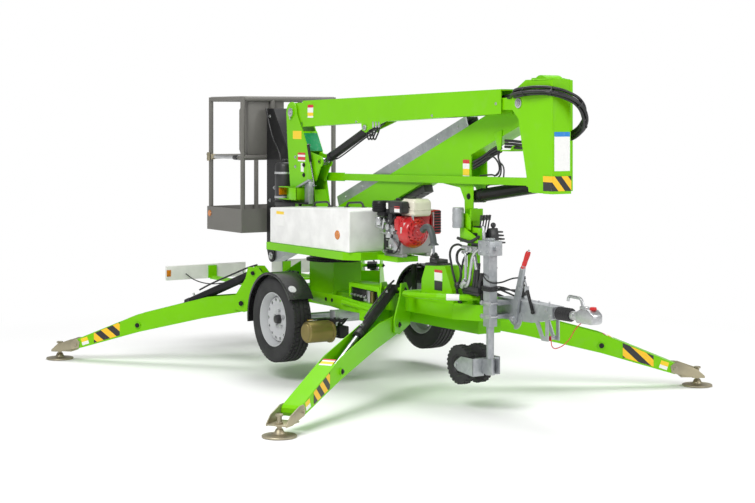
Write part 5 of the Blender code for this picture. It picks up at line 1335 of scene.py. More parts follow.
        shop.place("engine_pump", pump, Kind.CAST, "turntable")


@dataclass
class Turntable:
    """The white covers, column fittings, hydraulics and tank that slew with the deck."""

    far: float = 0.448
    foot: float = 0.9003
    slope: float = 0.037

    def cover(self, side: int, near: float, front: float) -> Shape:
        """A moulded cover with soft corners, its top sloping down to the rear."""
        top = 1.15 + (front + 0.45) * self.slope
        outline = [(-0.45, self.foot), (front, self.foot), (front + 0.005, top - 0.02), (front - 0.02, top),
                   (-0.44, 1.15), (-0.45, 1.14)]
        low, high = span(side, near, self.far)
        return Shape().upright(outline, low, high, 0.012, 4)

    def covers(self, shop: Workshop) -> None:
        """Both covers with their handles, labels and reflectors; the left one is short."""
        for side, name, near, front, grips, spot in ((-1, "right", 0.175, 0.62,
                                                      ((-0.2, 0.02), (0.24, 0.46)), 0.475),
                                                     (1, "left", 0.2, 0.1, ((-0.2, 0.02),), -0.04)):
            shell = self.cover(side, near, front)
            shop.place(f"cover_shell_{name}", shell, Kind.WHITE, "turntable", [f"cover_{name}"])
            trims = Shape()
            y = side * (near + 0.055)
            for start, end in grips:
                z0, z1 = (1.151 + (x + 0.45) * self.slope for x in (start, end))
                trims.tube([(start, y, z0 - 0.004), (start + 0.012, y, z0 + 0.03),
                            (end - 0.03, y, z1 + 0.033), (end, y, z1 - 0.002)], 0.0075, 0.02)
                for x, z in ((start, z0), (end, z1)):
                    trims.block((x - 0.018, y - 0.012, z - 0.003), (x + 0.018, y + 0.012, z + 0.005), 0.002)
            shop.place(f"cover_handles_{name}", trims, Kind.PLASTIC, "turntable")
            disc = reflector(0.03, (spot, side * (self.far - 0.0008), 1.009), (0, side, 0), 40)
            shop.place(f"cover_reflector_{name}", disc, Kind.AMBER_LENS, "turntable")
            x = -0.355 if side < 0 else -0.247
            label(shop, f"cover_label_{name}", "turntable", (x, side * (self.far + 0.0001), 1.028),
                  (-side, 0, 0), UP, 0.106, 0.1, "WY", (0.8, 0.2))

    def column(self, shop: Workshop) -> None:
        """The column's front cap, pins, strut, bracket, open box end and blank labels."""
        cap = Shape().upright([(-0.455, 1.545), (-0.446, 1.545), (-0.534, 1.69), (-0.545, 1.69)],
                              -0.13, -0.01, 0.001)
        cap.upright([(-0.466, 1.33), (-0.386, 1.345), (-0.4, 1.392), (-0.45, 1.56), (-0.47, 1.56)],
                    -0.137, -0.1295, 0.001)
        shop.place("column_cap", cap, Kind.GREEN, "turntable")
        pins = Shape()
        for (x, z), r, y in (((-0.699, 1.827), 0.022, -0.1382), ((-0.519, 1.36), 0.015, 0.016)):
            way = math.copysign(1.0, y)
            pins.rod((x, y, z), (x, y + way * 0.006, z), r * 1.5, 28, 0.0012)
            bolt(pins, (x + r * 0.2, y + way * 0.006, z - r * 0.2), (0, way, 0), r * 0.5, 0.007)
            pins.block((x - 0.006, min(y, y + way * 0.009), z - r * 2.3),
                       (x + 0.006, max(y, y + way * 0.009), z - r * 1.3), 0.001)
        for z in (1.5, 1.43, 1.06):
            bolt(pins, (-0.64, -0.13, z), RIGHT, 0.008, 0.006)
        pins.with_paint(1)
        for x, y, z in ((-0.516, -0.13, 1.445), (-0.516, -0.13, 1.372), (-0.32, -0.1122, 1.474)):
            bolt(pins, (x, y, z), RIGHT, 0.011, 0.008)
        bolt(pins, (-0.32, -0.0278, 1.474), LEFT, 0.011, 0.008)
        shop.place("column_pins", pins, [Kind.BRIGHT, Kind.BLACK], "turntable")
        ears = Shape().ring(0.03, 0.04, -0.002, 0.006, (-0.699, -0.13, 1.827), RIGHT, 40)
        shop.place("column_boss", ears, Kind.GREEN, "turntable")
        top, low = Vector((-0.425, -0.148, 1.592)), Vector((-0.34, -0.148, 1.3))
        strut = gas_strut(top, low, 0.42, 0.0105, 0.0048)
        for at in (top, low):
            strut.ball(at, 0.0095)
            strut.rod(at, at + Vector((0, 0.019, 0)), 0.005, 12)
        shop.place("column_strut", strut, [Kind.BLACK, Kind.CHROME], "turntable")
        bracket = Shape()
        bracket.block((-0.47, -0.152, 1.17), (-0.345, -0.148, 1.33), 0.001)
        bracket.block((-0.47, -0.152, 1.17), (-0.466, -0.13, 1.33), 0.001)
        bracket.block((-0.349, -0.19, 1.17), (-0.345, -0.148, 1.33), 0.001)
        bracket.upright([(-0.56, 1.285), (-0.38, 1.345), (-0.376, 1.332),
                         (-0.556, 1.272)], -0.176, -0.146, 0.001)
        for z in (1.2, 1.3):
            bolt(bracket, (-0.408, -0.152, z), RIGHT, 0.009, 0.006)
        shop.place("hanging_bracket", bracket, Kind.GALVANISED, "turntable")
        box = Shape()
        low_z, high_z, x0, x1, y0, y1 = 1.19, 1.283, -0.76, -0.5, -0.205, -0.13
        wall = 0.005
        box.block((x0, y0, low_z), (x1, y1, low_z + wall), 0.001)
        box.block((x0, y0, high_z - wall), (x1, y1, high_z), 0.001)
        box.block((x0, y1 - wall, low_z), (x1, y1, high_z), 0.001)
        box.block((x1 - 0.11, y0, low_z), (x1, y0 + wall, high_z), 0.001)
        box.block((x1 - wall, y0, low_z), (x1, y1, high_z), 0.001)
        shop.place("catch_box", box, Kind.GREEN, "turntable")
        lens = Shape().block((x0 - 0.006, y0 + 0.005, low_z + 0.03), (x0 + 0.001, y1, high_z - 0.01), 0.002)
        shop.place("catch_reflector", lens, Kind.AMBER_LENS, "turntable")
        shelf = Shape().block((-0.84, -0.215, 1.168), (-0.35, -0.13, 1.176), 0.002)
        shelf.block((-0.8, -0.215, 1.14), (-0.5, -0.211, 1.176), 0.001)
        for x in (-0.78, -0.62, -0.47):
            shelf.rod((x, -0.19, 1.15), (x, -0.19, 1.176), 0.012, 14)
        shelf.hose([(-0.83, -0.18, 1.16), (-0.86, -0.19, 1.11), (-0.82, -0.2, 1.075)], 0.006)
        shop.place("catch_shelf", shelf, Kind.BLACK, "turntable")
        near = -0.1303
        for name, *rest in (
                ("yellow", (-0.677, near, 1.632), AHEAD, UP, 0.125, 0.06, "Y"),
                ("red", (-0.603, near, 1.47), AHEAD, UP, 0.105, 0.064, "WRWR", (0.16, 0.36, 0.24, 0.24)),
                ("white", (-0.56, near, 1.395), AHEAD, UP, 0.04, 0.064, "W"),
                ("green", (-0.4455, -0.127, 1.548), LEFT, (-0.088, 0, 0.145), 0.112, 0.15, "G"),
                ("blue", (-0.3283, -0.105, 1.0), LEFT, (-0.04, 0, 1), 0.066, 0.088, "WB", (0.62, 0.38))):
            label(shop, f"column_{name}", "turntable", *rest)

    def hydraulics(self, shop: Workshop) -> None:
        """The tank's cap and straps, the slewing motor and the hoses under the deck."""
        tank = Shape()
        x, y = -0.875, -0.085
        tank.turned([(0.0, 0.0), (0.062, 0.0), (0.072, 0.006), (0.0755, 0.018), (0.0755, 0.318),
                     (0.07, 0.334), (0.058, 0.344), (0.0, 0.345)], (x, y, 1.112), UP, 56)
        tank.rod((x, y, 1.455), (x, y, 1.48), 0.024, 28, 0.003)
        tank.block((x - 0.085, y - 0.085, 1.095), (-0.72, y + 0.07, 1.1125), 0.002)
        tank.upright([(-0.74, 1.112), (-0.74, 1.02), (-0.682, 1.012), (-0.695, 1.112)], y - 0.07,
                     y + 0.07, 0.001)
        shop.place("oil_tank", tank, Kind.PLASTIC, "turntable", ["hydraulic_tank"])
        straps = Shape()
        for z in (1.19, 1.37):
            straps.ring(0.075, 0.078, 0.0, 0.016, (x, y, z), UP, 48)
            straps.block((x + 0.06, y - 0.01, z), (x + 0.09, y + 0.01, z + 0.016), 0.002)
        shop.place("tank_straps", straps, Kind.BRIGHT, "turntable")
        motor = Shape()
        motor.rod((0.06, -0.15, 0.825), (0.06, -0.15, 0.885), 0.055, 28, 0.004)
        motor.rod((-0.05, -0.19, 0.845), (0.18, -0.25, 0.845), 0.034, 24, 0.004)
        motor.rod((0.18, -0.25, 0.845), (0.215, -0.259, 0.845), 0.042, 24, 0.004)
        motor.block((0.12, -0.12, 0.815), (0.26, 0.06, 0.87), 0.006)
        for index in range(4):
            bolt(motor, (0.135 + index * 0.036, -0.12, 0.842), RIGHT, 0.009, 0.012)
        motor.rod((0.26, -0.06, 0.842), (0.35, -0.06, 0.842), 0.022, 20)
        shop.place("slew_motor", motor, Kind.BLACK, "turntable")
        hoses = Shape()
        for index in range(4):
            y0 = -0.1 - index * 0.022
            hoses.hose([(0.15 + index * 0.036, -0.13, 0.842), (0.17 + index * 0.03, y0 - 0.07, 0.835),
                        (0.33, y0 - 0.03, 0.832), (0.5, y0, 0.846), (0.64, y0 + 0.01, 0.852)], 0.0075)
        shop.place("deck_hoses", hoses, Kind.HOSE, "turntable")
        teeth = Shape()
        centre = (-0.293, 0.0, 0.7646)

        def tooth(one: Shape) -> None:
            one.flat([(0.2, -0.0062), (0.2075, -0.003), (0.2075, 0.003), (0.2, 0.0062)], 0.001, 0.019)

        teeth.ring(0.184, 0.2015, 0.0005, 0.0195, centre, UP, 72)
        teeth.around(tooth, 72, centre, UP)
        shop.place("ring_teeth", teeth, Kind.BLACK, "turntable")

    def build(self, shop: Workshop) -> None:
        """Place the turntable's pieces."""
        shop.dress(Kind.GREEN, "turntable_deck", "column")
        shop.dress(Kind.BLACK, "slew_ring")
        self.covers(shop)
        self.column(shop)
        self.hydraulics(shop)
        Engine().build(shop)


@dataclass
class Booms:
    """Pins, hoses, tapes and blank labels of the booms and the knuckle."""

    pin_c: tuple[float, float] = (2.033, 1.873)
    pin_d: tuple[float, float] = (2.213, 1.406)
    pin_e: tuple[float, float] = (2.04, 1.97)
    pin_f: tuple[float, float] = (2.115, 1.397)
    eye_1: tuple[float, float] = (0.3, 1.72)
    slope: float = math.radians(20.1)

    def plane_2(self) -> Matrix:
        """Boom 2's own frame: x rearwards along it from its pin."""
        tilt = Matrix.Rotation(-self.slope, 4, "Y")
        pin = Matrix.Translation((self.pin_e[0], 0.085, self.pin_e[1]))
        return pin @ tilt @ Matrix.Rotation(math.pi, 4, "Z")

    def knuckle(self, shop: Workshop) -> None:
        """The knuckle's pins, striped foot and blank notice plate."""
        shape = Shape()
        for (x, z), y, r in ((self.pin_c, -0.14, 0.02), (self.pin_d, 0.016, 0.015),
                             (self.pin_e, 0.165, 0.02), (self.pin_f, 0.165, 0.015)):
            way = -1 if y < 0 else 1
            shape.rod((x, y, z), (x, y + way * 0.006, z), r * 1.5, 28, 0.0012)
            bolt(shape, (x, y + way * 0.006, z), (0, way, 0), r * 0.55, 0.007)
        shop.place("knuckle_pins", shape, Kind.BRIGHT, "knuckle")
        tape = Shape()
        tape.block((2.3535, -0.1445, 1.362), (2.3552, -0.0035, 1.448), 0.0)
        tape.block((2.2705, -0.1452, 1.362), (2.3535, -0.1438, 1.448), 0.0)
        shop.place("knuckle_tape", tape, Kind.HAZARD, "knuckle")
        label(shop, "knuckle_notice", "knuckle", (2.3503, -0.126, 1.478), LEFT, UP, 0.118, 0.226,
              "WB", (0.88, 0.12))
        weld = Shape()
        for z in (1.35, 2.008):
            weld.rod((2.16, -0.1405, z), (2.346, -0.1405, z), 0.0035, 8)
        weld.rod((2.3485, -0.1395, 1.45), (2.3485, -0.1395, 2.005), 0.0042, 10)
        weld.rod((2.3485, -0.0085, 1.45), (2.3485, -0.0085, 2.005), 0.0042, 10)
        shop.place("knuckle_welds", weld, Kind.GREEN, "knuckle")

    def bundle(self, shop: Workshop) -> None:
        """Four hoses out of the lower boom's end and round the knuckle's front corner."""
        route = [(1.79, -0.076, 1.893), (1.9, -0.088, 1.905), (2.01, -0.15, 1.922), (2.14, -0.172, 1.932),
                 (2.26, -0.172, 1.936), (2.35, -0.146, 1.93), (2.402, -0.075, 1.905), (2.418, 0.0, 1.862),
                 (2.412, 0.045, 1.8), (2.38, 0.066, 1.735), (2.318, 0.066, 1.686), (2.215, 0.055, 1.655)]
        hoses = Shape()
        offsets = ((0.0, -0.01), (0.0, 0.01), (0.019, 0.002), (0.002, 0.029))
        points = [Vector(point) for point in route]
        for out, up in offsets:
            line = []
            for index, point in enumerate(points):
                along = (points[min(index + 1, len(points) - 1)] - points[max(index - 1, 0)]).normalized()
                side = along.cross(Vector(UP)).normalized()
                rise = up * (0.7 if index < 2 else 1.0)
                line.append(point + side * (out - 0.005) + side.cross(along) * rise)
            hoses.hose(line, 0.0094, 7, 3)
        shop.place("boom_hoses", hoses, Kind.HOSE, "knuckle",
                   blend=("boom_1", "knuckle", (1.83, -0.1, 1.9), (2.2, -0.1, 1.9)))
        ties = Shape()
        for index in (3, 5, 7, 9):
            along = (points[index + 1] - points[index - 1]).normalized()
            side = along.cross(Vector(UP)).normalized()
            middle = points[index] + side * 0.002 + side.cross(along) * 0.008
            ties.ring(0.0235, 0.0255, -0.0035, 0.0035, middle, along, 28)
        shop.place("hose_ties", ties, Kind.PLASTIC, "knuckle")

    def boom_1(self, shop: Workshop) -> None:
        """The lower boom's labels, small bolts and the hose fittings under it."""
        shop.dress(Kind.GREEN, "boom_1", "tie_rod", "knuckle", "boom_2")
        near = -0.1172
        label(shop, "boom_1_label", "boom_1", (-0.485, near, 1.788), AHEAD, UP, 0.08, 0.094,
              "WYWR", (0.14, 0.26, 0.38, 0.22))
        dots = Shape()
        for x, z in ((1.78, 1.872), (1.1, 1.8), (0.18, 1.76)):
            bolt(dots, (x, -0.117, z), RIGHT, 0.006, 0.004)
        for side, y in ((-1, -0.117), (1, -0.023)):
            x, z = self.eye_1
            dots.rod((x, y, z), (x, y + side * 0.012, z), 0.02, 24, 0.001)
            bolt(dots, (x, y + side * 0.012, z), (0, side, 0), 0.011, 0.007)
        shop.place("boom_1_bolts", dots, Kind.BRIGHT, "boom_1")
        hoses = Shape()
        for index in range(3):
            x = 0.395 + index * 0.036
            hoses.hose([(x, -0.112, 1.742), (x + 0.006, -0.118, 1.705),
                        (x - 0.01, -0.124, 1.668), (x - 0.042, -0.122, 1.64),
                        (x - 0.07, -0.116, 1.655), (x - 0.09, -0.11, 1.69)], 0.0055)
        shop.place("boom_1_hoses", hoses, Kind.HOSE, "boom_1")
        ends = Shape()
        for index in range(3):
            fitting(ends, (0.395 + index * 0.036, -0.112, 1.76), (0.05, -0.1, -1), 0.007)
        shop.place("boom_1_fittings", ends, Kind.BRIGHT, "boom_1")

    def boom_2(self, shop: Workshop) -> None:
        """The upper boom's labels, tray bolts, hoses and chain's steel strip."""
        shop.dress(Kind.GALVANISED, "boom_tray", "telescopic_section")
        shop.dress(Kind.PLASTIC, "cable_chain")
        near = 0.0198
        label(shop, "boom_2_label", "boom_2", (1.249, near, 1.408), AHEAD, UP, 0.07, 0.112,
              "WYWR", (0.1, 0.38, 0.3, 0.22))
        plane = self.plane_2()
        bolts = Shape()
        for index in range(7):
            bolt(bolts, (0.9 + index * 0.245, 0.05, 0.07), LEFT, 0.0065, 0.004)
            bolt(bolts, (0.9 + index * 0.245, -0.05, 0.07), RIGHT, 0.0065, 0.004)
        bolts.move(plane)
        shop.place("tray_bolts", bolts, Kind.BRIGHT, "boom_2")
        hoses = Shape()
        y = 0.03
        for drop in (0.0, 0.019, 0.038):
            hoses.hose([(1.68, y, 1.646 - drop), (1.76, y, 1.644 - drop), (1.85, y, 1.64 - drop),
                        (1.93, y, 1.65 - drop)], 0.0088, 7, 3)
            hoses.hose([(1.64, y, 1.618 - drop), (1.56, y, 1.592 - drop), (1.45, y, 1.542 - drop),
                        (1.35, y, 1.504 - drop)], 0.009, 6, 3)
        shop.place("boom_2_hoses", hoses, Kind.HOSE, "boom_2")
        lug = Shape().upright([(1.592, 1.69), (1.668, 1.712), (1.66, 1.6), (1.65, 1.578),
                               (1.626, 1.578)], 0.012, 0.02, 0.001)
        lug.upright([(1.652, 1.58), (1.752, 1.58), (1.786, 1.612), (1.78, 1.616), (1.75, 1.588),
                     (1.652, 1.588)], 0.012, 0.13, 0.001)
        leg = [(1.216, 1.358), (1.357, 1.358), (1.357, 1.19), (1.268, 1.19), (1.265, 1.313)]
        lug.upright(leg, 0.0188, 0.0268, 0.001)
        shop.place("boom_2_brackets", lug, Kind.GREEN, "boom_2")
        pin = bolt(Shape(), (1.312, 0.0188, 1.287), RIGHT, 0.013, 0.008)
        shop.place("rest_pin", pin, Kind.BLACK, "boom_2")
        loops = Shape()
        for points, radius in (
                (((1.636, 0.01, 1.584), (1.64, 0.006, 1.545), (1.668, 0.004, 1.492), (1.664, 0.006, 1.44),
                  (1.63, 0.012, 1.416)), 0.0052),
                (((1.65, 0.01, 1.584), (1.644, 0.006, 1.53), (1.7, 0.002, 1.48), (1.696, 0.006, 1.43),
                  (1.684, 0.012, 1.414)), 0.0048),
                (((1.5, 0.016, 1.536), (1.56, 0.008, 1.548), (1.622, 0.004, 1.528), (1.654, 0.004, 1.48),
                  (1.634, 0.006, 1.436), (1.56, 0.01, 1.432), (1.44, 0.016, 1.422)), 0.0052),
                (((1.64, 0.012, 1.5), (1.652, 0.004, 1.462), (1.616, 0.006, 1.432),
                  (1.596, 0.012, 1.424)), 0.0044)):
            loops.hose(points, radius)
        shop.place("sensor_leads", loops, Kind.HOSE, "boom_2")
        strip = Shape()
        strip.block((1.44, -0.0385, -0.176), (2.31, -0.036, -0.168), 0.0005)
        for index in range(18):
            strip.rod((1.445 + index * 0.05, -0.0385, -0.185),
                      (1.445 + index * 0.05, -0.035, -0.185), 0.006, 12)
        strip.move(plane)
        shop.place("chain_strip", strip, Kind.BRIGHT, "boom_2")

    def rams(self, shop: Workshop) -> None:
        """The glands of the two lift cylinders and their pipes."""
        shop.dress(Kind.BLACK, "lift_ram_1", "lift_ram_2")
        shop.dress(Kind.CHROME, "lift_rod_1", "lift_rod_2")
        rows = (("lift_ram_1", (0.4766, -0.07, 1.7901), (-0.32, -0.07, 1.474), 0.9, 0.03),
                ("lift_ram_2", (1.3, 0.085, 1.285), (2.115, 0.085, 1.397), 0.93, 0.042))
        for body, foot, eye, share, radius in rows:
            start, end = Vector(foot), Vector(eye)
            along = (end - start).normalized()
            up = Vector((-along.z, 0, along.x))
            mouth = start + along * ((end - start).length * share)
            shape = Shape().rod(mouth - along * 0.04, mouth + along * 0.001, radius + 0.0035, 32, 0.002)
            shape.rod(start + along * 0.05, start + along * 0.09, radius + 0.0025, 32, 0.002)
            pipe = start + along * 0.12 + up * (radius + 0.009)
            shape.hose([pipe - up * 0.012, pipe, pipe + along * 0.16,
                        mouth - along * 0.07 + up * (radius + 0.009),
                        mouth - along * 0.05 + up * (radius - 0.004)], 0.0048)
            shop.place(f"{body}_gland", shape, Kind.BLACK, body)

    def build(self, shop: Workshop) -> None:
        """Place the booms' pieces."""
        self.knuckle(shop)
        self.bundle(shop)
        self.boom_1(shop)
        self.boom_2(shop)
        self.rams(shop)


@dataclass
class Cage:
    """The cage's console, rail caps, gate latch, toe-board reflectors and arm bolts."""

    front: float = -1.3753
    rear: float = -1.9117
    right: float = -0.1767
    left: float = 0.6397
    top: float = 1.936
    mid: float = 1.48
    tube: float = 0.019

    def build(self, shop: Workshop) -> None:
        """Place the cage's pieces."""
        shop.dress(Kind.GREY, "cage_pan", "cage_frame")
        shop.dress(Kind.BLACK, "cage_arm")
        shop.dress(Kind.BRIGHT, "cage_gate")
        self.rails(shop)
        self.console(shop)
        self.gate(shop)
        self.details(shop)

    def rails(self, shop: Workshop) -> None:
        """The flat hand rail's wrap over the top tubes, with rounded corners."""
        shape = Shape()
        z = self.top
        f, r, a, b = self.front, self.rear, self.right, self.left
        shape.tube([((f + r) / 2, a, z), (f, a, z), (f, b, z), (r, b, z), (r, a, z),
                    ((f + r) / 2 + 0.001, a, z)], self.tube + 0.0012, 0.045)
        for x in (f, r):
            for y in (a, b):
                shape.turned([(0.0195, 0.0), (0.0235, 0.0), (0.0235, 0.004), (0.0195, 0.008)],
                             (x, y, 0.9084), UP, 20)
        shop.place("hand_rail", shape, Kind.GREY, "cage", angle=30)

    def console(self, shop: Workshop) -> None:
        """The folded console shell with its panel, levers and buttons."""
        front = self.front - self.tube - 0.0003
        outline = [(front, 1.5), (front, 1.93), (front - 0.06, 1.93), (front - 0.15, 1.85),
                   (front - 0.15, 1.54), (front - 0.12, 1.5)]
        shell = Shape().upright(outline, -0.12, 0.2, 0.006, 3)
        shop.place("console_shell", shell, Kind.GREY, "cage", ["cage_console"])
        tilt = Matrix.Rotation(math.radians(-138.4), 4, "Y")
        slope = Matrix.Translation((front - 0.105, 0.04, 1.89)) @ tilt
        panel = Shape()
        panel.block((-0.052, -0.14, -0.0005), (0.052, 0.14, 0.0025), 0.001)
        for index in range(4):
            y = -0.105 + index * 0.07
            panel.rod((0.01, y, 0.002), (0.01, y, 0.014), 0.014, 20, 0.002)
            panel.rod((0.01, y, 0.01), (0.004, y, 0.052), 0.0045, 12)
            panel.ball((0.003, y, 0.056), 0.0105)
        panel.move(slope)
        shop.place("console_panel", panel, Kind.PLASTIC, "cage")
        stop = Shape().turned([(0.0, 0.0), (0.012, 0.0), (0.012, 0.01), (0.019, 0.012), (0.02, 0.02),
                               (0.0, 0.023)], (0, 0, 0), UP, 28)
        stop.move(slope @ Matrix.Translation((-0.03, 0.11, 0.002)))
        shop.place("stop_button", stop, Kind.GRIP, "cage")

    def gate(self, shop: Workshop) -> None:
        """The drop bar's hinge block, sleeve and latch."""
        shape = Shape()
        start = self.front - 0.048
        shape.rod((start - 0.028, self.right, self.mid),
                  (start - 0.09, self.right, self.mid), 0.0185, 24, 0.002)
        shop.place("gate_sleeve", shape, Kind.PLASTIC, "cage_gate")
        shape = Shape()
        end = self.rear + self.tube + 0.012
        shape.rod((end + 0.03, self.right, self.mid), (end - 0.002, self.right, self.mid), 0.0175, 24, 0.002)
        shape.block((end - 0.004, self.right - 0.018, self.mid - 0.022),
                    (end + 0.012, self.right + 0.018, self.mid + 0.022), 0.004)
        shop.place("gate_end", shape, Kind.ZINC, "cage_gate")
        latch = Shape()
        x = self.rear
        latch.block((x - 0.022, self.right - 0.028, self.mid - 0.034),
                    (x + 0.022, self.right - 0.019, self.mid + 0.034), 0.003)
        latch.rod((x, self.right - 0.036, self.mid + 0.018),
                  (x, self.right - 0.018, self.mid + 0.018), 0.01, 18)
        bolt(latch, (x, self.right - 0.028, self.mid - 0.016), RIGHT, 0.008, 0.006)
        shop.place("gate_latch", latch, Kind.ZINC, "cage")

    def details(self, shop: Workshop) -> None:
        """Toe-board reflector, edge tape, arm bolts, the arm's lead and the floor's studs."""
        disc = reflector(0.025, (-1.888, -0.1998, 1.03), RIGHT, 36)
        shop.place("toe_reflector", disc, Kind.AMBER_LENS, "cage")
        tape = Shape().block((-1.9362, -0.196, 0.925), (-1.9348, 0.655, 1.07), 0.0)
        shop.place("toe_tape", tape, Kind.HAZARD, "cage")
        bolts = Shape()
        for side, y in ((-1, 0.085 - 0.063), (1, 0.085 + 0.063)):
            for x, z in ((-1.3, 1.8), (-1.3, 1.15), (-1.23, 1.25), (-1.01, 1.41), (-1.25, 0.9)):
                bolt(bolts, (x, y, z), (0, side, 0), 0.009, 0.007)
            bolts.rod((-1.28, y, 0.7234), (-1.28, y + side * 0.008, 0.7234), 0.028, 28, 0.0012)
            bolt(bolts, (-1.28, y + side * 0.008, 0.7234), (0, side, 0), 0.012, 0.008)
        shop.place("arm_bolts", bolts, Kind.BRIGHT, "cage")
        lead = Shape()
        lead.hose([(-1.34, 0.01, 1.86), (-1.3, -0.004, 1.82), (-1.2, -0.01, 1.64), (-1.08, -0.008, 1.48),
                   (-1.12, 0.004, 1.25), (-1.21, 0.012, 1.05), (-1.24, 0.016, 0.88)], 0.006)
        shop.place("arm_lead", lead, Kind.HOSE, "cage")
        grip = Shape()
        for index in range(9):
            for row in range(6):
                x = self.rear + 0.06 + index * 0.05
                y = self.right + 0.08 + row * 0.125
                grip.block((x - 0.014, y - 0.004, 0.9078), (x + 0.014, y + 0.004, 0.9105), 0.0008)
        shop.place("floor_studs", grip, Kind.GREY, "cage")


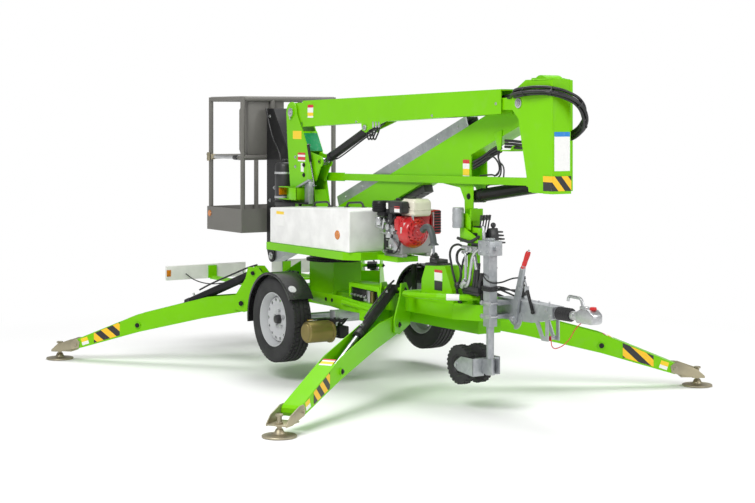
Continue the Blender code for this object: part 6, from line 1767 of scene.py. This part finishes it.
@dataclass
class Chassis:
    """The frame's paint and everything that is bolted to it."""

    board_x: float = -1.6
    board_half: float = 0.72
    board_gap: tuple[float, float] = (-0.035, 0.205)

    def lights(self, shop: Workshop) -> None:
        """The light board with its two lamps, reflectors, plate holder and lead."""
        x = self.board_x
        half, low, high, (start, end) = self.board_half, 0.545, 0.655, self.board_gap
        outline = [(-half, low), (start - 0.04, low), (start - 0.02, low - 0.06), (end + 0.02, low - 0.06),
                   (end + 0.04, low), (half, low), (half, high), (end, high), (end, low - 0.03),
                   (start, low - 0.03), (start, high), (-half, high)]
        shape = Shape().plate(outline, -0.01, 0.01, across(x), 0.005, 3)
        shape.block((x - 0.013, 0.255, 0.56), (x - 0.009, 0.5, 0.64), 0.002)
        shop.place("lamp_board", shape, Kind.LAMP_BODY, "chassis", ["light_board"])
        for side in (-1, 1):
            name = hand(side)
            low, high = span(side, self.board_half - 0.19, self.board_half - 0.012)
            body = Shape().block((x - 0.03, low, 0.553), (x + 0.0005, high, 0.647), 0.005)
            shop.place(f"lamp_case_{name}", body, Kind.PLASTIC, "chassis")
            split = side * (self.board_half - 0.075)
            for lens, edge, kind in (("tail", 0.186, Kind.RED_LENS), ("turn", 0.016, Kind.AMBER_LENS)):
                low, high = sorted((split, side * (self.board_half - edge)))
                pane = Shape().block((x - 0.045, low, 0.557), (x - 0.028, high, 0.643), 0.006, 3)
                shop.place(f"{lens}_lens_{name}", pane, kind, "chassis")
            mark = Shape().block((x + 0.0095, side * (self.board_half - 0.02) - 0.018, 0.575),
                                 (x + 0.0135, side * (self.board_half - 0.02) + 0.018, 0.625), 0.002)
            shop.place(f"side_mark_{name}", mark, Kind.AMBER_LENS, "chassis")
        lead = Shape()
        lead.hose([(x + 0.02, -0.56, 0.59), (x + 0.11, -0.52, 0.545), (x + 0.16, -0.44, 0.52),
                   (x + 0.3, -0.36, 0.533), (x + 0.52, -0.33, 0.536), (-0.76, -0.33, 0.536),
                   (-0.56, -0.32, 0.536)], 0.0045)
        lead.hose([(x + 0.02, 0.56, 0.59), (x + 0.1, 0.5, 0.548), (x + 0.17, 0.42, 0.524),
                   (x + 0.3, 0.35, 0.533), (x + 0.52, 0.33, 0.536), (-0.76, 0.33, 0.536)], 0.0045)
        shop.place("lamp_leads", lead, Kind.HOSE, "chassis")

    def drive(self, shop: Workshop) -> None:
        """The friction drive: drum, ribbed roller, clamp and chain case."""
        x, z = 0.395, 0.366
        shape = Shape().turned([(0.0, 0.0), (0.056, 0.0), (0.058, 0.006), (0.069, 0.012), (0.071, 0.018),
                                (0.071, 0.18), (0.079, 0.182), (0.079, 0.194), (0.0, 0.194)],
                               (x, -0.65, z), LEFT, 56)
        for turn in range(6):
            angle = math.tau * turn / 6
            bolt(shape, (x + 0.066 * math.cos(angle), -0.456,
                         z + 0.066 * math.sin(angle)), LEFT, 0.006, 0.005)
        shape.with_paint(1)
        shape.upright([(0.36, 0.33), (0.43, 0.33), (0.43, 0.5), (0.36, 0.5)], -0.44, -0.42, 0.002)
        shape.block((0.37, -0.425, 0.445), (0.43, -0.0853, 0.5), 0.003)
        shop.place("drive_motor", shape, [Kind.OLIVE, Kind.GALVANISED], "chassis", ["traction_motor"], 34)
        gear = Shape().rod((x, -0.456, z), (x, -0.38, z), 0.048, 32, 0.004)
        gear.block((x - 0.04, -0.42, z - 0.05), (x + 0.07, -0.35, z + 0.03), 0.008)
        shop.place("drive_gear", gear, Kind.BLACK, "chassis")
        label(shop, "drive_label", "chassis", (x - 0.03, -0.6, z + 0.0722), LEFT, BACK, 0.06, 0.03,
              "WY", (0.35, 0.65))
        clamp = Shape().block((0.33, -0.47, 0.43), (0.47, -0.4, 0.446), 0.003)
        clamp.rod((0.45, -0.455, 0.37), (0.45, -0.455, 0.46), 0.008, 14)
        clamp.block((0.3, -0.56, 0.42), (0.36, -0.43, 0.444), 0.004)
        clamp.hose([(0.33, -0.44, 0.41), (0.3, -0.38, 0.38), (0.25, -0.28, 0.4), (0.2, -0.18, 0.44)], 0.008)
        clamp.hose([(0.34, -0.45, 0.39), (0.29, -0.37, 0.35),
                    (0.23, -0.26, 0.38), (0.16, -0.15, 0.44)], 0.008)
        shop.place("drive_clamp", clamp, Kind.BLACK, "chassis")

    def flank(self, shop: Workshop) -> None:
        """The side arm and the boxed pipe block on the frame's right side."""
        arm = [(-0.037, 0.59), (0.401, 0.59), (0.78, 0.562), (0.78, 0.52), (0.616, 0.499), (0.401, 0.498),
               (-0.009, 0.526)]
        shape = Shape().upright(arm, -0.366, -0.36, 0.001)
        for x in (0.01, 0.4, 0.74):
            shape.block((x, -0.36, 0.52), (x + 0.008, -0.2, 0.57), 0.001)
        shape.rod((0.42, -0.372, 0.556), (0.78, -0.372, 0.538), 0.017, 20)
        shape.upright([(0.455, 0.59), (0.475, 0.6), (0.475, 0.662), (0.8, 0.654), (0.83, 0.56), (0.85, 0.56),
                       (0.826, 0.682), (0.455, 0.688)], -0.346, -0.34, 0.001)
        shape.block((0.455, -0.346, 0.682), (0.826, -0.2, 0.688), 0.001)
        shop.place("side_arm", shape, Kind.GREEN, "chassis")
        # Painted shade: a black sheet behind the side arm's open frame and black discs in its two holes
        # stand in for the shade inside them.
        dark = Shape().block((0.475, -0.334, 0.572), (0.8, -0.328, 0.672), 0.001)
        for x in (0.19, 0.27):
            dark.rod((x, -0.366, 0.552), (x, -0.369, 0.552), 0.013, 18)
        shop.place("side_hollow_shade", dark, Kind.BLACK, "chassis")
        pipes = Shape().block((0.69, -0.356, 0.545), (0.728, -0.338, 0.654), 0.003)
        for index in range(5):
            x = 0.48 + index * 0.04
            pipes.rod((x, -0.344, 0.612 - index * 0.002), (x + 0.026, -0.344, 0.612),
                      0.007 + 0.002 * (index % 2), 10)
        pipes.rod((0.66, -0.35, 0.59), (0.69, -0.35, 0.586), 0.01, 12)
        pipes.with_paint(1).block((0.735, -0.356, 0.545), (0.765, -0.338, 0.651), 0.003)
        shop.place("side_pipes", pipes, [Kind.BRIGHT, Kind.OLIVE], "chassis")

    def front(self, shop: Workshop) -> None:
        """The hood's labels, joystick, valve bank, green box and hoses of the front deck."""
        hood = -0.2303
        for name, x, z, *rest in (("low", 1.29, 0.705, 0.085, 0.058, "K"),
                                  ("high", 1.29, 0.766, 0.085, 0.068, "WR", (0.75, 0.25)),
                                  ("small", 1.19, 0.655, 0.095, 0.024, "K")):
            label(shop, f"hood_label_{name}", "chassis", (x, hood, z), AHEAD, UP, *rest)
        base = Shape().block((1.17, -0.222, 0.845), (1.3, -0.1, 0.868), 0.005)
        base.block((1.196, -0.206, 0.866), (1.282, -0.118, 0.892), 0.006)
        base.turned([(0.0, 0.0), (0.034, 0.0), (0.028, 0.01), (0.03, 0.016), (0.02, 0.026), (0.021, 0.031),
                     (0.011, 0.042), (0.0, 0.042)], (1.222, -0.182, 0.891), UP, 28)
        shop.place("joystick_base", base, Kind.PLASTIC, "chassis")
        lever = Shape().rod((1.226, -0.19, 0.905), (1.232, -0.198, 0.985), 0.0085, 18)
        shop.place("joystick_lever", lever, Kind.CHROME, "chassis")
        grip = Shape().hose([(1.236, -0.198, 0.98), (1.23, -0.199, 1.02),
                             (1.216, -0.2, 1.056), (1.188, -0.2, 1.086),
                             (1.15, -0.2, 1.09), (1.112, -0.2, 1.068)], 0.0215, 8, 4)
        grip.turned([(0.0, 0.0), (0.034, 0.0), (0.032, 0.008), (0.022, 0.016), (0.0, 0.016)],
                    (1.234, -0.198, 0.978), (-0.1, 0.0, 1), 28)
        shop.place("joystick_grip", grip, Kind.SLATE, "chassis")
        box = Shape()
        x0, x1, y0, y1, z0, z1 = 1.5, 1.69, -0.185, -0.15, 1.02, 1.112
        wall = 0.005
        box.block((x0, y0, z0), (x0 + wall, y1, z1), 0.001)
        box.block((x1 - wall, y0, z0), (x1, y1, z1), 0.001)
        box.block((x0, y0, z0), (x1, y1, z0 + wall), 0.001)
        box.block((x0, y1 - wall, z0), (x1, y1, z1), 0.001)
        box.upright([(x0, z0), (x1, z0), (x1, z0 + 0.03), (x0 + 0.04, z1), (x0, z1)], y0, y0 + wall, 0.001)
        box.upright([(1.595, 1.095), (1.595, 1.16), (1.56, 1.197),
                     (1.49, 1.197), (1.49, 1.095)], -0.172, -0.166, 0.001)
        shop.place("valve_box", box, Kind.GREEN, "chassis")
        shop.dress(Kind.PLASTIC, "outrigger_valves")
        bank = Shape().block((1.56, -0.196, 0.96), (1.69, -0.13, 1.0), 0.006)
        bank.rod((1.52, -0.176, 0.985), (1.56, -0.176, 0.985), 0.014, 18)
        bank.rod((1.6, -0.196, 0.98), (1.6, -0.206, 0.98), 0.012, 6)
        bank.rod((1.645, -0.196, 0.98), (1.645, -0.21, 0.98), 0.014, 6)
        shop.place("valve_sections", bank, Kind.BRIGHT, "chassis")
        levers = Shape()
        levers.tube([(1.535, -0.19, 0.958), (1.582, -0.2, 0.955), (1.588, -0.204, 0.775)], 0.0085, 0.02)
        levers.tube([(1.8, -0.18, 0.985), (1.69, -0.196, 0.984), (1.654, -0.204, 0.935),
                     (1.63, -0.206, 0.79), (1.606, -0.206, 0.752), (1.57, -0.206, 0.75)], 0.0095, 0.035)
        levers.rod((1.655, -0.19, 0.96), (1.69, -0.195, 0.86), 0.012, 16)
        levers.rod((1.56, -0.212, 0.748), (1.6, -0.212, 0.79), 0.02, 16, 0.003)
        shop.place("valve_levers", levers, Kind.BRIGHT, "chassis")
        knobs = Shape().block((1.545, -0.205, 0.714), (1.715, -0.12, 0.752), 0.006)
        knobs.block((1.565, -0.212, 0.706), (1.735, -0.205, 0.722), 0.003)
        knobs.ball((1.52, -0.214, 0.752), 0.0225, steps=24)
        for index, (low, high) in enumerate(((0.75, 0.86), (0.75, 0.9), (0.75, 0.84))):
            x = 1.64 + index * 0.03
            knobs.rod((x, -0.18, low), (x + 0.02, -0.18, high), 0.012, 14)
        knobs.hose([(1.48, -0.186, 1.041), (1.56, -0.192, 1.03), (1.62, -0.192, 1.028),
                    (1.7, -0.186, 1.062)], 0.01)
        shop.place("valve_knobs", knobs, Kind.PLASTIC, "chassis")
        hoses = Shape()
        for points, radius in (
                (((1.54, -0.176, 0.985), (1.47, -0.186, 1.0), (1.418, -0.196, 0.965), (1.432, -0.2, 0.87),
                  (1.475, -0.2, 0.76), (1.5, -0.19, 0.64)), 0.0072),
                (((1.56, -0.17, 0.975), (1.48, -0.18, 0.96), (1.476, -0.19, 0.905), (1.52, -0.196, 0.862),
                  (1.53, -0.2, 0.8), (1.49, -0.2, 0.72), (1.52, -0.19, 0.64)), 0.0085),
                (((1.6, -0.17, 0.965), (1.545, -0.182, 0.925), (1.522, -0.186, 0.85),
                  (1.5, -0.19, 0.76)), 0.0064),
                (((1.8, -0.15, 0.9), (1.74, -0.17, 0.83), (1.69, -0.18, 0.77), (1.66, -0.17, 0.7)), 0.013),
                (((1.79, -0.12, 0.88), (1.72, -0.15, 0.8), (1.68, -0.15, 0.72), (1.67, -0.14, 0.65)), 0.009),
                (((1.69, -0.13, 0.985), (1.716, -0.14, 0.9), (1.69, -0.15, 0.8), (1.66, -0.14, 0.65)),
                 0.0075)):
            hoses.hose(points, radius)
        shop.place("valve_hoses", hoses, Kind.HOSE, "chassis")
        head = Shape().upright([(1.64, 0.985), (1.7, 0.985), (1.712, 1.06), (1.7, 1.112), (1.664, 1.108),
                                (1.64, 1.06)], -0.1, -0.04, 0.006)
        head.ball((1.69, -0.07, 1.128), 0.017)
        head.rod((1.69, -0.07, 1.1), (1.69, -0.07, 1.128), 0.009, 12)
        for index in range(4):
            head.block((1.655, -0.046 + index * 0.01, 1.08 - index * 0.022),
                       (1.705, -0.004 + index * 0.006, 1.09 - index * 0.022), 0.002)
        shop.place("selector_head", head, Kind.PLASTIC, "chassis")
        bar = Shape().block((1.676, -0.155, 0.998), (1.692, -0.13, 1.125), 0.003)
        shop.place("selector_bar", bar, Kind.BRIGHT, "chassis")
        wrap = Shape().turned([(0.0, 0.0), (0.034, 0.0), (0.037, 0.01), (0.035, 0.03), (0.0375, 0.055),
                               (0.035, 0.09), (0.0365, 0.11), (0.033, 0.125), (0.0, 0.125)],
                              (1.52, -0.212, 1.108), UP, 24)
        shop.place("rest_wrap", wrap, Kind.GALVANISED, "chassis")
        loops = Shape()
        x, y = 1.782, -0.162
        for index, z in enumerate((0.742, 0.752, 0.762)):
            loops.hose([(1.69, -0.06, z - 0.03), (x - 0.036, y + 0.04, z), (x - 0.04, y - 0.03, z + 0.004),
                        (x, y - 0.042, z + 0.002), (x + 0.04, y - 0.03, z), (x + 0.042, y + 0.04, z + 0.003),
                        (1.838, 0.01, 0.74 - index * 0.01)], 0.0048)
        loops.hose([(1.64, -0.11, 0.8), (x - 0.038, y - 0.02, 0.845), (x - 0.01, y - 0.042, 0.83),
                    (x + 0.036, y - 0.036, 0.8), (x + 0.044, y + 0.03, 0.79), (1.85, -0.02, 0.815),
                    (1.842, 0.045, 0.8), (1.836, 0.05, 0.77)], 0.005)
        shop.place("lead_loops", loops, Kind.HOSE, "chassis")
        guard = Shape()
        guard.ring(0.0185, 0.02, -0.04, 0.04, (1.566, -0.2846, 0.6875), (0.66, 0.75, 0), 28)
        shop.place("guard_label", guard, Kind.LABEL_WHITE, "chassis")

    def build(self, shop: Workshop) -> None:
        """Place the chassis's pieces and dress its solids."""
        shop.dress(Kind.GREEN, "chassis_frame", *[f"leg_{leg}" for leg in LEG_ROOTS])
        shop.dress(Kind.GALVANISED, "axle_beam", "drawbar", "handbrake_lever",
                   "jockey_mast", "jockey_tube", "jockey_fork")
        shop.dress(Kind.BLACK, *[f"leg_ram_{leg}" for leg in LEG_ROOTS])
        shop.dress(Kind.CHROME, *[f"leg_rod_{leg}" for leg in LEG_ROOTS])
        for side in (-1, 1):
            RoadWheel(side).build(shop)
            Mudguard(side).build(shop)
        for leg in LEG_ROOTS:
            Outrigger(leg).build(shop)
        TowGear().build(shop)
        self.lights(shop)
        self.drive(shop)
        self.flank(shop)
        self.front(shop)


@dataclass(frozen=True)
class Lamp:
    """An area lamp: its name, place, aim, size and power."""

    name: str
    place: Point
    size: float
    power: float
    aim: Point = (0.0, 0.0, 0.7)

    def build(self) -> None:
        """Add the lamp."""
        data = bpy.data.lights.new(self.name, "AREA")
        data.shape = "DISK"
        data.size = self.size
        data.energy = self.power
        lamp = bpy.data.objects.new(self.name, data)
        lamp.location = self.place
        lamp.rotation_euler = (Vector(self.aim) - Vector(self.place)).to_track_quat("-Z", "Y").to_euler()
        bpy.context.scene.collection.objects.link(lamp)


def mix_shaders(tree: bpy.types.NodeTree, share: Wire, first: bpy.types.Node,
                second: bpy.types.Node) -> bpy.types.NodeSocket:
    """The output of a Mix Shader node between two nodes' shaders."""
    mix = tree.nodes.new("ShaderNodeMixShader")
    for port, value in zip(mix.inputs, (share.socket, first.outputs[0], second.outputs[0])):
        tree.links.new(value, port)
    return mix.outputs[0]


@dataclass
class Studio:
    """The white floor and world, the lamps and the photograph's camera."""

    camera_at: tuple[float, float, float] = (9.2508, -5.9847, 1.78)
    heading: float = 57.256
    lens: float = 76.47
    shift: float = -0.1757
    sensor: float = 36.0
    sight: float = 200.0
    floor_z: float = -0.0005
    floor_half: float = 60.0
    fade: tuple[float, float] = (2.3, 4.6)
    glow: float = 0.42

    def camera(self) -> None:
        """The camera at the photograph's viewing angle."""
        data = bpy.data.cameras.new("photo_camera")
        data.sensor_width = self.sensor
        data.lens = self.lens
        data.shift_y = self.shift
        data.clip_end = self.sight
        camera = bpy.data.objects.new("photo_camera", data)
        camera.location = self.camera_at
        camera.rotation_euler = (math.radians(90.0), 0.0, math.radians(self.heading))
        bpy.context.scene.collection.objects.link(camera)
        bpy.context.scene.camera = camera

    def world(self) -> None:
        """A pale world that is white where the camera or a transmitted ray sees it."""
        world = bpy.data.worlds.new("studio_world")
        world.use_nodes = True
        tree = world.node_tree
        dim = tree.nodes["Background"]
        path = tree.nodes.new("ShaderNodeLightPath")
        seen = Wire(tree, path.outputs["Is Camera Ray"]) + Wire(tree, path.outputs["Is Transmission Ray"])
        seen = seen.math("MINIMUM", seen, 1.0)
        white = tree.nodes.new("ShaderNodeBackground")
        for shader, strength in ((dim, self.glow), (white, 1.0)):
            shader.inputs["Color"].default_value = (1, 1, 1, 1)
            shader.inputs["Strength"].default_value = strength
        mixed = mix_shaders(tree, seen, dim, white)
        tree.links.new(mixed, tree.nodes["World Output"].inputs["Surface"])
        bpy.context.scene.world = world

    def floor(self) -> None:
        """A pale floor that keeps the machine's shadow and fades to white with distance."""
        mesh = bmesh.new()
        bmesh.ops.create_grid(mesh, x_segments=1, y_segments=1, size=self.floor_half)
        bmesh.ops.translate(mesh, vec=(0, 0, self.floor_z), verts=mesh.verts)
        data = bpy.data.meshes.new("studio_floor")
        mesh.to_mesh(data)
        mesh.free()
        r = Recipe("floor_paint")
        away = r.node("ShaderNodeVectorMath", "Value", {0: r.place()}, operation="LENGTH")
        r.finish(Base_Color=(0.9, 0.9, 0.9), Roughness=0.95)
        r.shader.inputs["Specular IOR Level"].default_value = 0.0
        glow = r.tree.nodes.new("ShaderNodeEmission")
        glow.inputs["Color"].default_value = (1, 1, 1, 1)
        mixed = mix_shaders(r.tree, away.step(*self.fade), r.shader, glow)
        r.tree.links.new(mixed, r.tree.nodes["Material Output"].inputs["Surface"])
        data.materials.append(r.material)
        floor = bpy.data.objects.new("studio_floor", data)
        bpy.context.scene.collection.objects.link(floor)

    def build(self) -> None:
        """Set the studio up."""
        self.camera()
        self.world()
        self.floor()
        for lamp in (Lamp("key_lamp", (3.0, -6.0, 6.5), 4.0, 430.0),
                     Lamp("fill_lamp", (7.5, 2.5, 4.0), 4.0, 190.0),
                     Lamp("top_lamp", (-1.5, 1.5, 7.0), 5.0, 330.0)):
            lamp.build()
        bpy.context.scene.view_settings.view_transform = "Standard"


def main() -> None:
    """Dress the machine."""
    logging.basicConfig(level=logging.INFO, format="%(message)s")
    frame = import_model()
    shop = Workshop(frame)
    Studio().build()
    Chassis().build(shop)
    Turntable().build(shop)
    Booms().build(shop)
    Cage().build(shop)
    log.info("%d pieces", shop.count)


if __name__ == "__main__":
    main()
